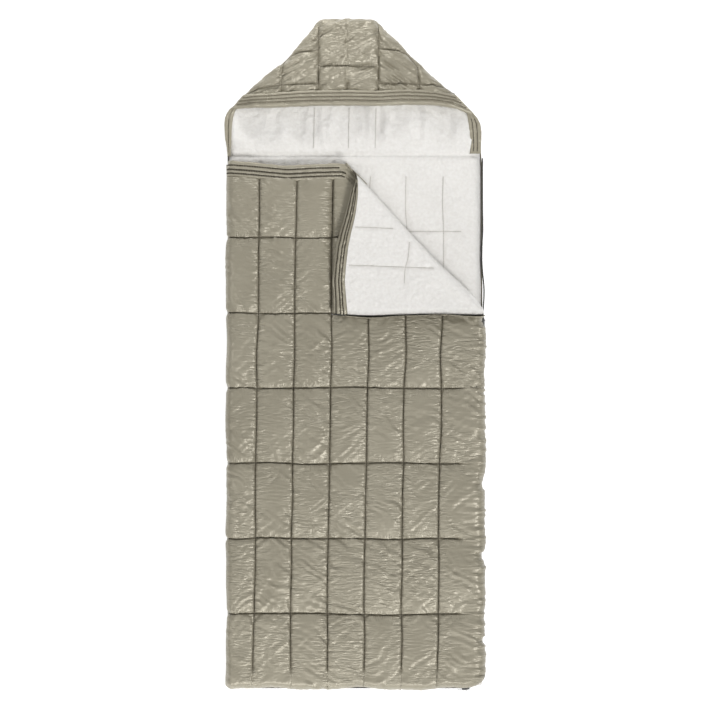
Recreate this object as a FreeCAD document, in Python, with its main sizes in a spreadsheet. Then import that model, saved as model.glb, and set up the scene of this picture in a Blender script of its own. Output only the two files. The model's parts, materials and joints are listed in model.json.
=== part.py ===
import FreeCAD, Part
import math
import os
import Sketcher

# A hooded, box-quilted sleeping bag with a plush lining, lying flat on its back with the hood
# at +Y. The quilt is one sandwich of cover, wadding and lining, folded in half along the left
# edge and zipped along the right edge and the foot. The front panel's upper right corner is
# unzipped and folded back. Millimetres, +Z up, origin on the floor under the middle of the bag.

SIZES = (
    ("bag_width", 800, "left fold to right zip edge"),
    ("bag_length", 1640, "top edge of the front panel to the foot edge"),
    ("foot_line", -1042, "Y of the foot edge"),
    ("neck_rise", 26, "neck seam above the front panel's top edge"),
    ("hood_height", 418, "neck seam to crown"),
    ("cover", 2, "thickness of the satin cover, puckers included"),
    ("wadding", 22, "thickness of the polyester wadding"),
    ("lining", 6, "thickness of the plush lining"),
    ("inside_gap", 12, "between the two linings"),
    ("foot_round", 40, "radius of the foot corner at the zip"),
    ("fold_leg", 472, "side of the corner that folds back"),
    ("fold_lift", 3, "fold axis above the front cover"),
    ("fold_clearance", 0.6, "each cut edge back from the fold line"),
    ("band_width", 50, "stitched band at the opening"),
    ("band_cloth", 2, "thickness of one leaf of a band"),
    ("first_column", 96, "first quilting line in from the left edge"),
    ("column_pitch", 116.4, "between the lengthwise quilting lines"),
    ("first_row", 231, "first crosswise quilting line below the top edge"),
    ("row_pitch", 235, "between the crosswise quilting lines"),
    ("plain_border", 63, "unquilted border at the zip"),
    ("thread_width", 1.5, "quilting thread"),
    ("thread_height", 0.8, "quilting thread"),
    ("cheek_half", 372, "half width of the hood at the ends of its brim"),
    ("shoulder_bulge", 8, "hood's shoulders beyond the bag's edges"),
    ("cheek_rise", 148, "neck seam to the ends of the brim"),
    ("crown_half", 85, "half width of the crown"),
    ("crown_shift", -20, "the crown lies this far to one side"),
    ("brim_rise", 156, "neck seam to the brim's free edge"),
    ("gusset_width", 16, "seam gusset between hood back and hood front"),
    ("hood_end_gap", 16, "hood front's end back from the crown"),
    ("band_end_gap", 6, "flap band's end back from the zip edge"),
    ("hood_outer_seam", 217, "outer quilting lines of the hood from its middle"),
    ("side_band_left", 24, "width of the left face band"),
    ("side_band_right", 44, "width of the right face band"),
    ("side_band_cloth", 4, "height of a face band"),
    ("neck_clearance", 1, "hood parts above the neck line"),
    ("tape_thickness", 0.8, "zip tape"),
    ("tape_width", 17.6, "zip tape, seam to coil"),
    ("coil_gap", 0.8, "coil row to the middle of the chain"),
    ("coil_height", 2.2, "coil row"),
    ("coil_depth", 2.6, "coil row, across the tape"),
    ("stop_length", 5, "end stops of the zip"),
    ("slider_length", 24, "zip slider"),
    ("slider_width", 10, "zip slider"),
    ("slider_plate", 1.3, "thickness of a slider plate"),
    ("slider_inside", 6, "between the slider's plates"),
    ("slider_flange", 0.8, "guide flange, wide"),
    ("slider_flange_depth", 1.4, "guide flange, deep"),
    ("neck_thickness", 1.2, "wedge between the two coil rows"),
    ("pivot_radius", 0.8, "pin of the pull"),
    ("pivot_clearance", 0.08, "pull's eye around its pin"),
    ("pull_length", 30, "pull, pin to tip"),
    ("pull_thickness", 1.4, "pull"),
    ("main_slider_at", 106, "Y of the main slider"),
    ("foot_slider_at", 347, "X of the foot slider"),
)

doc = FreeCAD.newDocument("sleeping_bag")
sheet = doc.addObject("Spreadsheet::Sheet", "sizes")
for row, (alias, value, meaning) in enumerate(SIZES, start=1):
    sheet.set("A%d" % row, alias)
    sheet.set("B%d" % row, str(value))
    sheet.set("C%d" % row, meaning)
    sheet.setAlias("B%d" % row, alias)
doc.recompute()


def cell(alias):
    """A driving size as a number."""
    return float(sheet.get(alias))


def value_of(expression):
    """The number that an expression in the sheet's words comes to."""
    return float(sheet.evalExpression(expression))


def bound(expression):
    """The same expression as another object writes it, with the sheet's name before each alias."""
    words = expression
    for alias in sorted(ALIASES, key=len, reverse=True):
        words = words.replace(alias, "\0%d\0" % ALIASES.index(alias))
    for number, alias in enumerate(ALIASES):
        words = words.replace("\0%d\0" % number, "sizes." + alias)
    return words


ALIASES = [alias for alias, _, _ in SIZES]
subparts = []

# Levels and lines that several pieces share, each as an expression of the driving sizes.
PANEL = "(cover + wadding + lining)"
FRONT_LEVEL = "(%s + inside_gap)" % PANEL
TOP_LEVEL = "(2 * %s + inside_gap)" % PANEL
FOLD_RADIUS = "(%s / 2)" % TOP_LEVEL
CHAIN_LEVEL = FOLD_RADIUS
RIGHT = "(bag_width / 2)"
LEFT = "(%s - bag_width / 2)" % FOLD_RADIUS
TOP = "(foot_line + bag_length)"
NECK = "(%s + neck_rise)" % TOP
CROWN = "(%s + hood_height)" % NECK
FOLD_X = "(%s - fold_leg)" % RIGHT
FOLD_Y = "(%s - fold_leg)" % TOP
CUT = "(1.4142 * fold_clearance)"


def origin_plane(body, role):
    return next(f for f in body.Origin.OriginFeatures if f.Role == role)


def sketch_on(body, role, name):
    sketch = body.newObject("Sketcher::SketchObject", name)
    sketch.AttachmentSupport = (origin_plane(body, role), [""])
    sketch.MapMode = "FlatFace"
    return sketch


def draw_polygon(sketch, corners):
    """A closed outline whose every corner is held by the sheet's sizes."""
    places = [FreeCAD.Vector(value_of(x), value_of(y), 0) for x, y in corners]
    for index, start in enumerate(places):
        sketch.addGeometry(Part.LineSegment(start, places[(index + 1) % len(places)]))
    for index in range(len(places)):
        after = (index + 1) % len(places)
        sketch.addConstraint(Sketcher.Constraint("Coincident", index, 2, after, 1))
    for index, (x, y) in enumerate(corners):
        for kind, words, number in (("DistanceX", x, places[index].x), ("DistanceY", y, places[index].y)):
            held = sketch.addConstraint(Sketcher.Constraint(kind, -1, 1, index, 1, number))
            sketch.setExpression("Constraints[%d]" % held, bound(words))


def draw_circle(sketch, x, y, radius):
    """A hole whose centre and radius are held by the sheet's sizes."""
    centre = FreeCAD.Vector(value_of(x), value_of(y), 0)
    axis = FreeCAD.Vector(0, 0, 1)
    hole = sketch.addGeometry(Part.Circle(centre, axis, value_of(radius)))
    for kind, words, number in (("DistanceX", x, centre.x), ("DistanceY", y, centre.y)):
        held = sketch.addConstraint(Sketcher.Constraint(kind, -1, 1, hole, 3, number))
        sketch.setExpression("Constraints[%d]" % held, bound(words))
    held = sketch.addConstraint(Sketcher.Constraint("Radius", hole, value_of(radius)))
    sketch.setExpression("Constraints[%d]" % held, bound(radius))


def pad(body, sketch, length, both_ways=False):
    """Raise a sketch by a length, away from its plane or half to each side."""
    feature = body.newObject("PartDesign::Pad", sketch.Name + "_pad")
    feature.Profile = sketch
    feature.Midplane = both_ways
    feature.Length = value_of(length)
    feature.setExpression("Length", bound(length))
    sketch.Visibility = False
    return feature


def pocket(body, sketch):
    """Cut a sketch right through, both ways."""
    feature = body.newObject("PartDesign::Pocket", sketch.Name + "_cut")
    feature.Profile = sketch
    feature.Type = "ThroughAll"
    feature.Midplane = True
    return feature


def round_edges(body, base, wanted, radius):
    """Fillet the edges of a feature whose middles the test accepts."""
    doc.recompute()
    names = []
    for number, edge in enumerate(base.Shape.Edges, start=1):
        middle = edge.valueAt((edge.FirstParameter + edge.LastParameter) / 2)
        if wanted(edge, middle):
            names.append("Edge%d" % number)
    feature = body.newObject("PartDesign::Fillet", base.Name + "_round")
    feature.Base = (base, names)
    feature.Radius = value_of(radius)
    feature.setExpression("Radius", bound(radius))
    return feature


def upright(edge):
    ends = edge.Vertexes
    return len(ends) == 2 and abs(ends[0].Z - ends[1].Z) > 0.9 * edge.Length


def keep(piece, label):
    piece.Label = label
    subparts.append(piece)
    return piece


def layer(label, corners, level, thickness, rounded_foot=False):
    """One flat layer of the quilt: an outline at a level, with a thickness."""
    body = doc.addObject("PartDesign::Body", label)
    outline = sketch_on(body, "XY_Plane", label + "_outline")
    draw_polygon(outline, corners)
    raised = pad(body, outline, thickness)
    if rounded_foot:
        at_foot = value_of("foot_line")
        at_right = value_of(RIGHT)

        def foot_corner(edge, middle):
            return upright(edge) and abs(middle.x - at_right) < 1 and abs(middle.y - at_foot) < 1

        round_edges(body, raised, foot_corner, "foot_round")
    body.setExpression("Placement.Base.z", bound(level))
    return keep(body, label)


def panel_layers(prefix, corners, level, face_up, rounded_foot=False):
    """The cover, wadding and lining of one panel; the lining is uppermost where face_up."""
    order = ("shell", "wadding", "lining") if face_up else ("lining", "wadding", "shell")
    sizes = {"shell": "cover", "wadding": "wadding", "lining": "lining"}
    height = level
    made = []
    for name in order:
        piece = layer(prefix + "_" + name, corners, height, sizes[name], rounded_foot)
        made.append((piece, height))
        height = "(%s + %s)" % (height, sizes[name])
    return made


def folded_band(label, corners, level, inner_line, panel_side):
    """A band folded round a panel's edge: two leaves and the fold between them.

    The panel lies on the side of inner_line that panel_side gives: 1 towards the hood, -1 the foot."""
    body = doc.addObject("PartDesign::Body", label)
    outline = sketch_on(body, "XY_Plane", label + "_outline")
    draw_polygon(outline, corners)
    pad(body, outline, "%s + 2 * band_cloth" % PANEL)
    inside = sketch_on(body, "YZ_Plane", label + "_inside")
    deep = "(%s + band_width * %d)" % (inner_line, 2 * panel_side)
    under = "band_cloth"
    over = "band_cloth + %s" % PANEL
    draw_polygon(inside, ((inner_line, under), (deep, under), (deep, over), (inner_line, over)))
    pocket(body, inside)
    body.setExpression("Placement.Base.z", bound("%s - band_cloth" % level))
    return keep(body, label)


def solid_feature(label, shape):
    """A piece made with Part's own functions."""
    feature = doc.addObject("Part::Feature", label)
    feature.Shape = shape
    return keep(feature, label)


def bar(low, high):
    """A box between two corners."""
    size = [high[i] - low[i] for i in range(3)]
    return Part.makeBox(size[0], size[1], size[2], FreeCAD.Vector(*low))


def fused(shapes):
    whole = shapes[0].multiFuse(shapes[1:]) if len(shapes) > 1 else shapes[0]
    return whole.removeSplitter()


def thread_line(start, end, level):
    """A straight run of quilting thread lying on a face at a level."""
    half = cell("thread_width") / 2
    low = (min(start[0], end[0]) - half, min(start[1], end[1]) - half, level)
    high = (max(start[0], end[0]) + half, max(start[1], end[1]) + half, level + cell("thread_height"))
    return bar(low, high)


# ---------------------------------------------------------------- back panel and folded edge
back_outline = (
    (LEFT, "foot_line"),
    (RIGHT, "foot_line"),
    (RIGHT, NECK),
    (LEFT, NECK),
)
panel_layers("back", back_outline, "0 * cover", face_up=True, rounded_foot=True)


def fold_half_ring(label, outer, inner):
    """One layer of the left edge, bent half a turn from the back panel up to the front."""
    rings = []
    for part_name, radius in (("outside", outer), ("inside", inner)):
        ring = doc.addObject("Part::Cylinder", label + "_" + part_name)
        ring.Radius = value_of(radius)
        ring.setExpression("Radius", bound(radius))
        ring.setExpression("Height", bound("bag_length"))
        ring.Angle = 180
        rings.append(ring)
    bend = doc.addObject("Part::Cut", label)
    bend.Base, bend.Tool = rings
    for ring in rings:
        ring.Visibility = False
    lie_along_y = FreeCAD.Rotation(FreeCAD.Vector(1, 0, 0), -90)
    open_to_right = FreeCAD.Rotation(FreeCAD.Vector(0, 0, 1), 90)
    turn = lie_along_y.multiply(open_to_right)
    place = FreeCAD.Vector(value_of(LEFT), value_of("foot_line"), value_of(FOLD_RADIUS))
    bend.Placement = FreeCAD.Placement(place, turn)
    bend.setExpression("Placement.Base.x", bound(LEFT))
    bend.setExpression("Placement.Base.y", bound("foot_line"))
    bend.setExpression("Placement.Base.z", bound(FOLD_RADIUS))
    return keep(bend, label)


fold_half_ring("side_fold_shell", FOLD_RADIUS, FOLD_RADIUS + " - cover")
fold_half_ring("side_fold_wadding", FOLD_RADIUS + " - cover", "lining + inside_gap / 2")
fold_half_ring("side_fold_lining", "lining + inside_gap / 2", "inside_gap / 2")

# ---------------------------------------------------------------- front panel
BAND_INNER = "(%s - band_cloth)" % TOP
front_outline = (
    (LEFT, "foot_line"),
    (RIGHT, "foot_line"),
    (RIGHT, "%s - %s" % (FOLD_Y, CUT)),
    ("%s + band_cloth - %s" % (FOLD_X, CUT), BAND_INNER),
    (LEFT, BAND_INNER),
)
panel_layers("front", front_outline, FRONT_LEVEL, face_up=False, rounded_foot=True)

BAND_FOOT = "(%s - band_width)" % TOP
front_band_outline = (
    (LEFT, BAND_FOOT),
    ("%s + band_width - %s" % (FOLD_X, CUT), BAND_FOOT),
    ("%s - %s" % (FOLD_X, CUT), TOP),
    (LEFT, TOP),
)
folded_band("front_top_band", front_band_outline, FRONT_LEVEL, BAND_INNER, -1)

# ---------------------------------------------------------------- folded corner
# The corner is drawn closed, in line with the front panel, and placed half a turn back over it.
FOLD_SUM = "(%s + %s)" % (FOLD_X, TOP)
FOLD_AXIS_LEVEL = "(%s + fold_lift)" % TOP_LEVEL


def fold_back(piece, level="0 * cover"):
    """Place a piece of the closed corner half a turn about the fold line, from its own level."""
    place = (FOLD_SUM, FOLD_SUM, "2 * %s - %s" % (FOLD_AXIS_LEVEL, level))
    base = FreeCAD.Vector(*[value_of(words) for words in place])
    piece.Placement = FreeCAD.Placement(base, FreeCAD.Rotation(FreeCAD.Vector(1, -1, 0), 180))
    for letter, words in zip("xyz", place):
        piece.setExpression("Placement.Base." + letter, bound(words))


flap_outline = (
    ("%s + %s + band_cloth" % (FOLD_X, CUT), BAND_INNER),
    (RIGHT, "%s + %s" % (FOLD_Y, CUT)),
    (RIGHT, BAND_INNER),
)
for piece, level in panel_layers("flap", flap_outline, FRONT_LEVEL, face_up=False):
    fold_back(piece, level)
flap_band_outline = (
    ("%s + band_width + %s" % (FOLD_X, CUT), BAND_FOOT),
    ("%s - band_end_gap" % RIGHT, BAND_FOOT),
    ("%s - band_end_gap" % RIGHT, TOP),
    ("%s + %s" % (FOLD_X, CUT), TOP),
)
flap_band = folded_band("flap_band", flap_band_outline, FRONT_LEVEL, BAND_INNER, -1)
fold_back(flap_band, "(%s - band_cloth)" % FRONT_LEVEL)
flap_drawn = []

# ---------------------------------------------------------------- quilting threads
left_line = value_of(LEFT) + 1
right_line = value_of(RIGHT) - cell("plain_border")
foot_limit = value_of("foot_line") + cell("plain_border")
band_foot = value_of(BAND_FOOT)
fold_sum = value_of(FOLD_SUM)
columns = [cell("first_column") - value_of(RIGHT) + cell("column_pitch") * i for i in range(6)]
rows = [value_of(TOP) - cell("first_row") - cell("row_pitch") * i for i in range(6)]
SHORT = 5  # threads end this far short of a fold or a band

front_face = value_of(TOP_LEVEL)
front_threads = []
flap_threads = []
for x in columns:
    top_end = min(band_foot, fold_sum - x) - SHORT
    front_threads.append(thread_line((x, foot_limit), (x, top_end), front_face))
    if fold_sum - x + SHORT < band_foot - SHORT:
        start = (x, fold_sum - x + SHORT)
        flap_threads.append(thread_line(start, (x, band_foot - SHORT), front_face))
for y in rows:
    right_end = min(right_line, fold_sum - y - SHORT)
    front_threads.append(thread_line((left_line, y), (right_end, y), front_face))
    if fold_sum - y + SHORT < right_line:
        flap_threads.append(thread_line((fold_sum - y + SHORT, y), (right_line, y), front_face))
solid_feature("front_quilting", fused(front_threads))
flap_drawn.append(solid_feature("flap_quilting", fused(flap_threads)))

back_face = value_of(PANEL)
back_threads = [thread_line((x, foot_limit), (x, value_of(NECK) - SHORT), back_face) for x in columns]
back_threads += [thread_line((left_line, y), (right_line, y), back_face) for y in rows]
solid_feature("back_quilting", fused(back_threads))

STITCH_ROWS = 3


def band_rows(start, end_at, level, first):
    """Three parallel rows of stitching along a band."""
    rows_made = []
    for index in range(STITCH_ROWS):
        y = first - (index + 1) * cell("band_width") / (STITCH_ROWS + 1)
        rows_made.append(thread_line((start(y), y), (end_at(y), y), level))
    return Part.makeCompound(rows_made)


band_face = front_face + cell("band_cloth")
solid_feature(
    "front_band_stitching",
    band_rows(lambda y: left_line, lambda y: fold_sum - y - SHORT, band_face, value_of(TOP)),
)
flap_drawn.append(
    solid_feature(
        "flap_band_stitching",
        band_rows(
            lambda y: fold_sum - y + SHORT,
            lambda y: value_of(RIGHT) - cell("band_end_gap") - SHORT,
            band_face,
            value_of(TOP),
        ),
    )
)

# ---------------------------------------------------------------- zip tapes, coils and stops
zip_line = value_of(RIGHT)
foot_edge = value_of("foot_line")
foot_round = cell("foot_round")


def corner_strip(inner, outer, start_y, end_x, low, high):
    """A strip round the foot corner: down the right edge, round, and along the foot."""
    middle = FreeCAD.Vector(zip_line - foot_round, foot_edge + foot_round, 0)
    quarter = math.radians(-45)
    edges = []
    for offset in (inner, outer):
        radius = foot_round + offset
        side = FreeCAD.Vector(zip_line + offset, start_y, 0)
        bend_start = FreeCAD.Vector(zip_line + offset, middle.y, 0)
        way = FreeCAD.Vector(math.cos(quarter), math.sin(quarter), 0)
        bend_end = FreeCAD.Vector(middle.x, foot_edge - offset, 0)
        foot = FreeCAD.Vector(end_x, foot_edge - offset, 0)
        edges.append(
            (
                Part.LineSegment(side, bend_start).toShape(),
                Part.Arc(bend_start, middle + way * radius, bend_end).toShape(),
                Part.LineSegment(bend_end, foot).toShape(),
                side,
                foot,
            )
        )
    first, second = edges
    caps = [
        Part.LineSegment(first[3], second[3]).toShape(),
        Part.LineSegment(first[4], second[4]).toShape(),
    ]
    wire = Part.Wire(Part.__sortEdges__(list(first[:3]) + list(second[:3]) + caps))
    strip = Part.Face(wire).extrude(FreeCAD.Vector(0, 0, high - low))
    strip.translate(FreeCAD.Vector(0, 0, low))
    return strip


chain = value_of(CHAIN_LEVEL)
coil_near = cell("coil_gap")
coil_far = coil_near + cell("coil_height")
tape_far = coil_far + cell("tape_width")
tape = cell("tape_thickness")
coil_out = (cell("coil_depth") + tape) / 2
coil_in = coil_out - cell("coil_depth")
zip_top = value_of(TOP)
zip_end = value_of(LEFT) + SHORT
stop = cell("stop_length")
slit = value_of(FOLD_Y)

stop_line = zip_top - stop
tape_back = corner_strip(0, tape, zip_top, zip_end, chain - tape_far, chain - coil_far)
coil_back = corner_strip(coil_in, coil_out, stop_line, zip_end, chain - coil_far, chain - coil_near)
tape_front = corner_strip(0, tape, slit - 1, zip_end, chain + coil_far, chain + tape_far)
coil_front = corner_strip(coil_in, coil_out, slit - 1, zip_end, chain + coil_near, chain + coil_far)
tape_flap = bar((zip_line, slit + 1, chain + coil_far), (zip_line + tape, zip_top, chain + tape_far))
coil_flap = bar(
    (zip_line + coil_in, slit + 1, chain + coil_near),
    (zip_line + coil_out, stop_line, chain + coil_far),
)
solid_feature("zip_tape_back", tape_back)
solid_feature("zip_coil_back", coil_back)
solid_feature("zip_tape_front", tape_front)
solid_feature("zip_coil_front", coil_front)
flap_drawn.append(solid_feature("zip_tape_flap", tape_flap))
flap_drawn.append(solid_feature("zip_coil_flap", coil_flap))


def end_stop(label, low_y, low_z):
    """A crimped metal stop on the end of one coil row."""
    low = (zip_line + coil_in, low_y, low_z)
    high = (zip_line + coil_out, low_y + stop, low_z + cell("coil_height"))
    return solid_feature(label, bar(low, high))


end_stop("zip_top_stop_back", stop_line, chain - coil_far)
flap_drawn.append(end_stop("zip_top_stop_flap", stop_line, chain + coil_near))
solid_feature(
    "zip_foot_stop",
    bar(
        (zip_end - stop, foot_edge - coil_out, chain - coil_far),
        (zip_end, foot_edge - coil_in, chain + coil_far),
    ),
)
for piece in flap_drawn:
    fold_back(piece)


# ---------------------------------------------------------------- hood
def mirrored(side, expression):
    return "(%s) * %d" % (expression, side)


SHOULDER = "(bag_width / 2 + shoulder_bulge)"
SHOULDER_LINE = "(%s + cheek_rise * 0.72)" % NECK
hood_outline = (
    ("-1 * bag_width / 2", "%s + neck_clearance" % NECK),
    (RIGHT, "%s + neck_clearance" % NECK),
    (SHOULDER, SHOULDER_LINE),
    ("cheek_half", "%s + cheek_rise" % NECK),
    ("crown_shift + crown_half", CROWN),
    ("crown_shift - crown_half", CROWN),
    ("-1 * cheek_half", "%s + cheek_rise" % NECK),
    ("-1 * %s" % SHOULDER, SHOULDER_LINE),
)
panel_layers("hood_back", hood_outline, "0 * cover", face_up=True)

BRIM = "(%s + brim_rise)" % NECK
BRIM_INNER = "(%s + band_cloth)" % BRIM
HOOD_END = "(%s - hood_end_gap)" % CROWN
HOOD_FRONT_LEVEL = "(%s + 0.5)" % FRONT_LEVEL


def slope(side, height):
    """X of the hood's sloping edge at a height, as an expression."""
    share = "((%s - %s - cheek_rise) / (hood_height - cheek_rise))" % (height, NECK)
    reach = "(cheek_half + %s * (crown_half - cheek_half))" % share
    return "(%s + %s * crown_shift)" % (mirrored(side, reach), share)


hood_front_outline = (
    (slope(1, BRIM_INNER), BRIM_INNER),
    (slope(1, HOOD_END), HOOD_END),
    (slope(-1, HOOD_END), HOOD_END),
    (slope(-1, BRIM_INNER), BRIM_INNER),
)
panel_layers("hood_front", hood_front_outline, HOOD_FRONT_LEVEL, face_up=False)
BRIM_TOP = "(%s + band_width)" % BRIM
brim_outline = (
    (slope(-1, BRIM), BRIM),
    (slope(1, BRIM), BRIM),
    (slope(1, BRIM_TOP), BRIM_TOP),
    (slope(-1, BRIM_TOP), BRIM_TOP),
)
folded_band("hood_brim_band", brim_outline, HOOD_FRONT_LEVEL, BRIM_INNER, 1)

hood_face = value_of(HOOD_FRONT_LEVEL) + value_of(PANEL)
solid_feature(
    "hood_brim_stitching",
    band_rows(
        lambda y: value_of(slope(-1, BRIM_TOP)) + SHORT,
        lambda y: value_of(slope(1, BRIM_TOP)) - SHORT,
        hood_face + cell("band_cloth"),
        value_of(BRIM_TOP),
    ),
)
hood_seam_low = value_of(BRIM_TOP) + SHORT
hood_seam_high = value_of(HOOD_END) - SHORT
crown_middle = cell("crown_shift")
centre_seam = cell("crown_half") - SHORT
outer_middle = crown_middle / 2
outer_seam = cell("hood_outer_seam")
high_cross = (hood_seam_low + 2 * hood_seam_high) / 3
low_cross = hood_seam_low + 20
hood_threads = [
    thread_line((crown_middle + x, hood_seam_low), (crown_middle + x, hood_seam_high), hood_face)
    for x in (-centre_seam, 0, centre_seam)
]
for side in (-1, 1):
    x = outer_middle + side * outer_seam
    hood_threads.append(thread_line((x, hood_seam_low), (x, high_cross - 4 * SHORT), hood_face))
for middle, reach, y in ((outer_middle, outer_seam, low_cross), (crown_middle, centre_seam, high_cross)):
    hood_threads.append(thread_line((middle - reach, y), (middle + reach, y), hood_face))
solid_feature("hood_quilting", fused(hood_threads))

# The seam gusset joins hood back to hood front along the slopes and the crown.
gusset = cell("gusset_width")
cheek = value_of(NECK) + cell("cheek_rise") + gusset
crown_edge = value_of(CROWN)
slopes = {
    side: (value_of(slope(side, str(cheek))), value_of(slope(side, str(crown_edge)))) for side in (-1, 1)
}
outside = [
    (slopes[1][0], cheek),
    (slopes[1][1], crown_edge),
    (slopes[-1][1], crown_edge),
    (slopes[-1][0], cheek),
]
inset = gusset * 1.35
inside = [
    (slopes[-1][0] + inset, cheek),
    (slopes[-1][1] + inset * 0.6, crown_edge - gusset),
    (slopes[1][1] - inset * 0.6, crown_edge - gusset),
    (slopes[1][0] - inset, cheek),
]
ring_points = [FreeCAD.Vector(x, y, 0) for x, y in outside + inside]
ring_face = Part.Face(Part.makePolygon(ring_points + ring_points[:1]))
gusset_height = cell("inside_gap") - cell("band_cloth")
gusset_shape = ring_face.extrude(FreeCAD.Vector(0, 0, gusset_height))
gusset_shape.translate(FreeCAD.Vector(0, 0, value_of(PANEL)))
solid_feature("hood_gusset", gusset_shape)


def face_band(label, side, width):
    """The facing that runs from the end of the brim down the side of the face opening."""
    foot = "%s + neck_clearance * 4" % NECK
    corners = (
        (mirrored(side, "bag_width / 2"), foot),
        (mirrored(side, SHOULDER), SHOULDER_LINE),
        (mirrored(side, "cheek_half"), "%s + cheek_rise" % NECK),
        (mirrored(side, "cheek_half - %s" % width), "%s + cheek_rise - 12" % NECK),
        (mirrored(side, "bag_width / 2 - %s" % width), SHOULDER_LINE),
        (mirrored(side, "bag_width / 2 - %s" % width), foot),
    )
    return layer(label, corners, PANEL, "side_band_cloth")


face_band("face_band_left", -1, "side_band_left")
face_band("face_band_right", 1, "side_band_right")
right_band_middle = value_of(RIGHT) - cell("side_band_right") / 2
right_rows = [
    thread_line(
        (right_band_middle + shift, value_of(NECK) + 2 * SHORT),
        (right_band_middle + shift, value_of(NECK) + cell("cheek_rise") * 0.7),
        value_of(PANEL) + cell("side_band_cloth"),
    )
    for shift in (-6, 8)
]
solid_feature("face_band_stitching", Part.makeCompound(right_rows))


# ---------------------------------------------------------------- sliders and their pulls
# Drawn with the chain along Y and the outside towards +X, then placed on the edge.
PLATE_OUT = "(slider_inside / 2 + slider_plate)"
PIVOT_X = "(%s + 2)" % PLATE_OUT
PIVOT_Y = "(slider_length / 8)"
LUG_IN = "(slider_width / 2 - 2.2)"


def slider_body(label, placement):
    """Two plates joined by a wedge at the open end, with guide flanges and a pivot for the pull."""
    body = doc.addObject("PartDesign::Body", label)
    plan = sketch_on(body, "XY_Plane", label + "_plan")
    half = "slider_length / 2"
    draw_polygon(
        plan,
        (
            ("-1 * %s" % PLATE_OUT, "-1 * %s" % half),
            (PLATE_OUT, "-1 * %s" % half),
            (PLATE_OUT, half),
            ("-1 * %s" % PLATE_OUT, half),
        ),
    )
    pad(body, plan, "slider_width", both_ways=True)
    throat = sketch_on(body, "XZ_Plane", label + "_throat")
    reach = "slider_inside / 2"
    slot = "(slider_inside / 2 - slider_flange_depth)"
    rail = "(slider_width / 2 - slider_flange)"
    edge = "(slider_width / 2 + 1)"
    draw_polygon(
        throat,
        (
            ("-1 * %s" % reach, "-1 * %s" % rail),
            ("-1 * %s" % slot, "-1 * %s" % rail),
            ("-1 * %s" % slot, "-1 * %s" % edge),
            (slot, "-1 * %s" % edge),
            (slot, "-1 * %s" % rail),
            (reach, "-1 * %s" % rail),
            (reach, rail),
            (slot, rail),
            (slot, edge),
            ("-1 * %s" % slot, edge),
            ("-1 * %s" % slot, rail),
            ("-1 * %s" % reach, rail),
        ),
    )
    pocket(body, throat)
    wedge = sketch_on(body, "XY_Plane", label + "_wedge")
    draw_polygon(
        wedge,
        (
            ("-1 * %s - 0.2" % reach, "slider_length / 6"),
            ("%s + 0.2" % reach, "slider_length / 6"),
            ("%s + 0.2" % reach, "slider_length / 2 - 2"),
            ("-1 * %s - 0.2" % reach, "slider_length / 2 - 2"),
        ),
    )
    pad(body, wedge, "neck_thickness", both_ways=True)
    lug_plan = sketch_on(body, "XY_Plane", label + "_lugs")
    draw_polygon(
        lug_plan,
        (
            ("%s - 0.2" % PLATE_OUT, "%s - 3" % PIVOT_Y),
            ("%s + 1.4" % PIVOT_X, "%s - 1.6" % PIVOT_Y),
            ("%s + 1.4" % PIVOT_X, "%s + 1.6" % PIVOT_Y),
            ("%s - 0.2" % PLATE_OUT, "%s + 3" % PIVOT_Y),
        ),
    )
    pad(body, lug_plan, "slider_width - 2", both_ways=True)
    between = sketch_on(body, "XZ_Plane", label + "_between")
    draw_polygon(
        between,
        (
            ("%s" % PLATE_OUT, "-1 * %s" % LUG_IN),
            ("%s + 3" % PIVOT_X, "-1 * %s" % LUG_IN),
            ("%s + 3" % PIVOT_X, LUG_IN),
            ("%s" % PLATE_OUT, LUG_IN),
        ),
    )
    pocket(body, between)
    pin = sketch_on(body, "XY_Plane", label + "_pin")
    draw_circle(pin, PIVOT_X, PIVOT_Y, "pivot_radius")
    pad(body, pin, "slider_width - 2.4", both_ways=True)
    body.Placement = placement
    return keep(body, label)


def slider_pull(label, placement):
    """A flat tab with an eye round the slider's pin and a grip hole near its tip."""
    body = doc.addObject("PartDesign::Body", label)
    eye = sketch_on(body, "XY_Plane", label + "_eye")
    draw_circle(eye, PIVOT_X, PIVOT_Y, "pivot_radius * 2.2")
    pad(body, eye, "2 * %s - 0.6" % LUG_IN, both_ways=True)
    side = sketch_on(body, "XY_Plane", label + "_side")
    draw_polygon(
        side,
        (
            ("%s - pull_thickness / 2" % PIVOT_X, "%s - pull_length" % PIVOT_Y),
            ("%s + pull_thickness / 2" % PIVOT_X, "%s - pull_length" % PIVOT_Y),
            ("%s + pull_thickness / 2" % PIVOT_X, "%s - pivot_radius" % PIVOT_Y),
            ("%s - pull_thickness / 2" % PIVOT_X, "%s - pivot_radius" % PIVOT_Y),
        ),
    )
    pad(body, side, "slider_width - 4.6", both_ways=True)
    eye_hole = sketch_on(body, "XY_Plane", label + "_eye_hole")
    draw_circle(eye_hole, PIVOT_X, PIVOT_Y, "pivot_radius + pivot_clearance")
    pocket(body, eye_hole)
    grip = sketch_on(body, "YZ_Plane", label + "_grip")
    draw_circle(grip, "%s - pull_length + 4.5" % PIVOT_Y, "0.001 * cover", "pivot_radius * 2")
    cut = pocket(body, grip)
    tip = value_of("%s - pull_length" % PIVOT_Y)

    def tip_corner(edge, middle):
        across = abs(edge.Vertexes[0].X - edge.Vertexes[-1].X) > 0.9 * edge.Length
        return across and abs(middle.y - tip) < 0.1

    round_edges(body, cut, tip_corner, "slider_width / 5")
    body.Placement = placement
    return keep(body, label)


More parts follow.
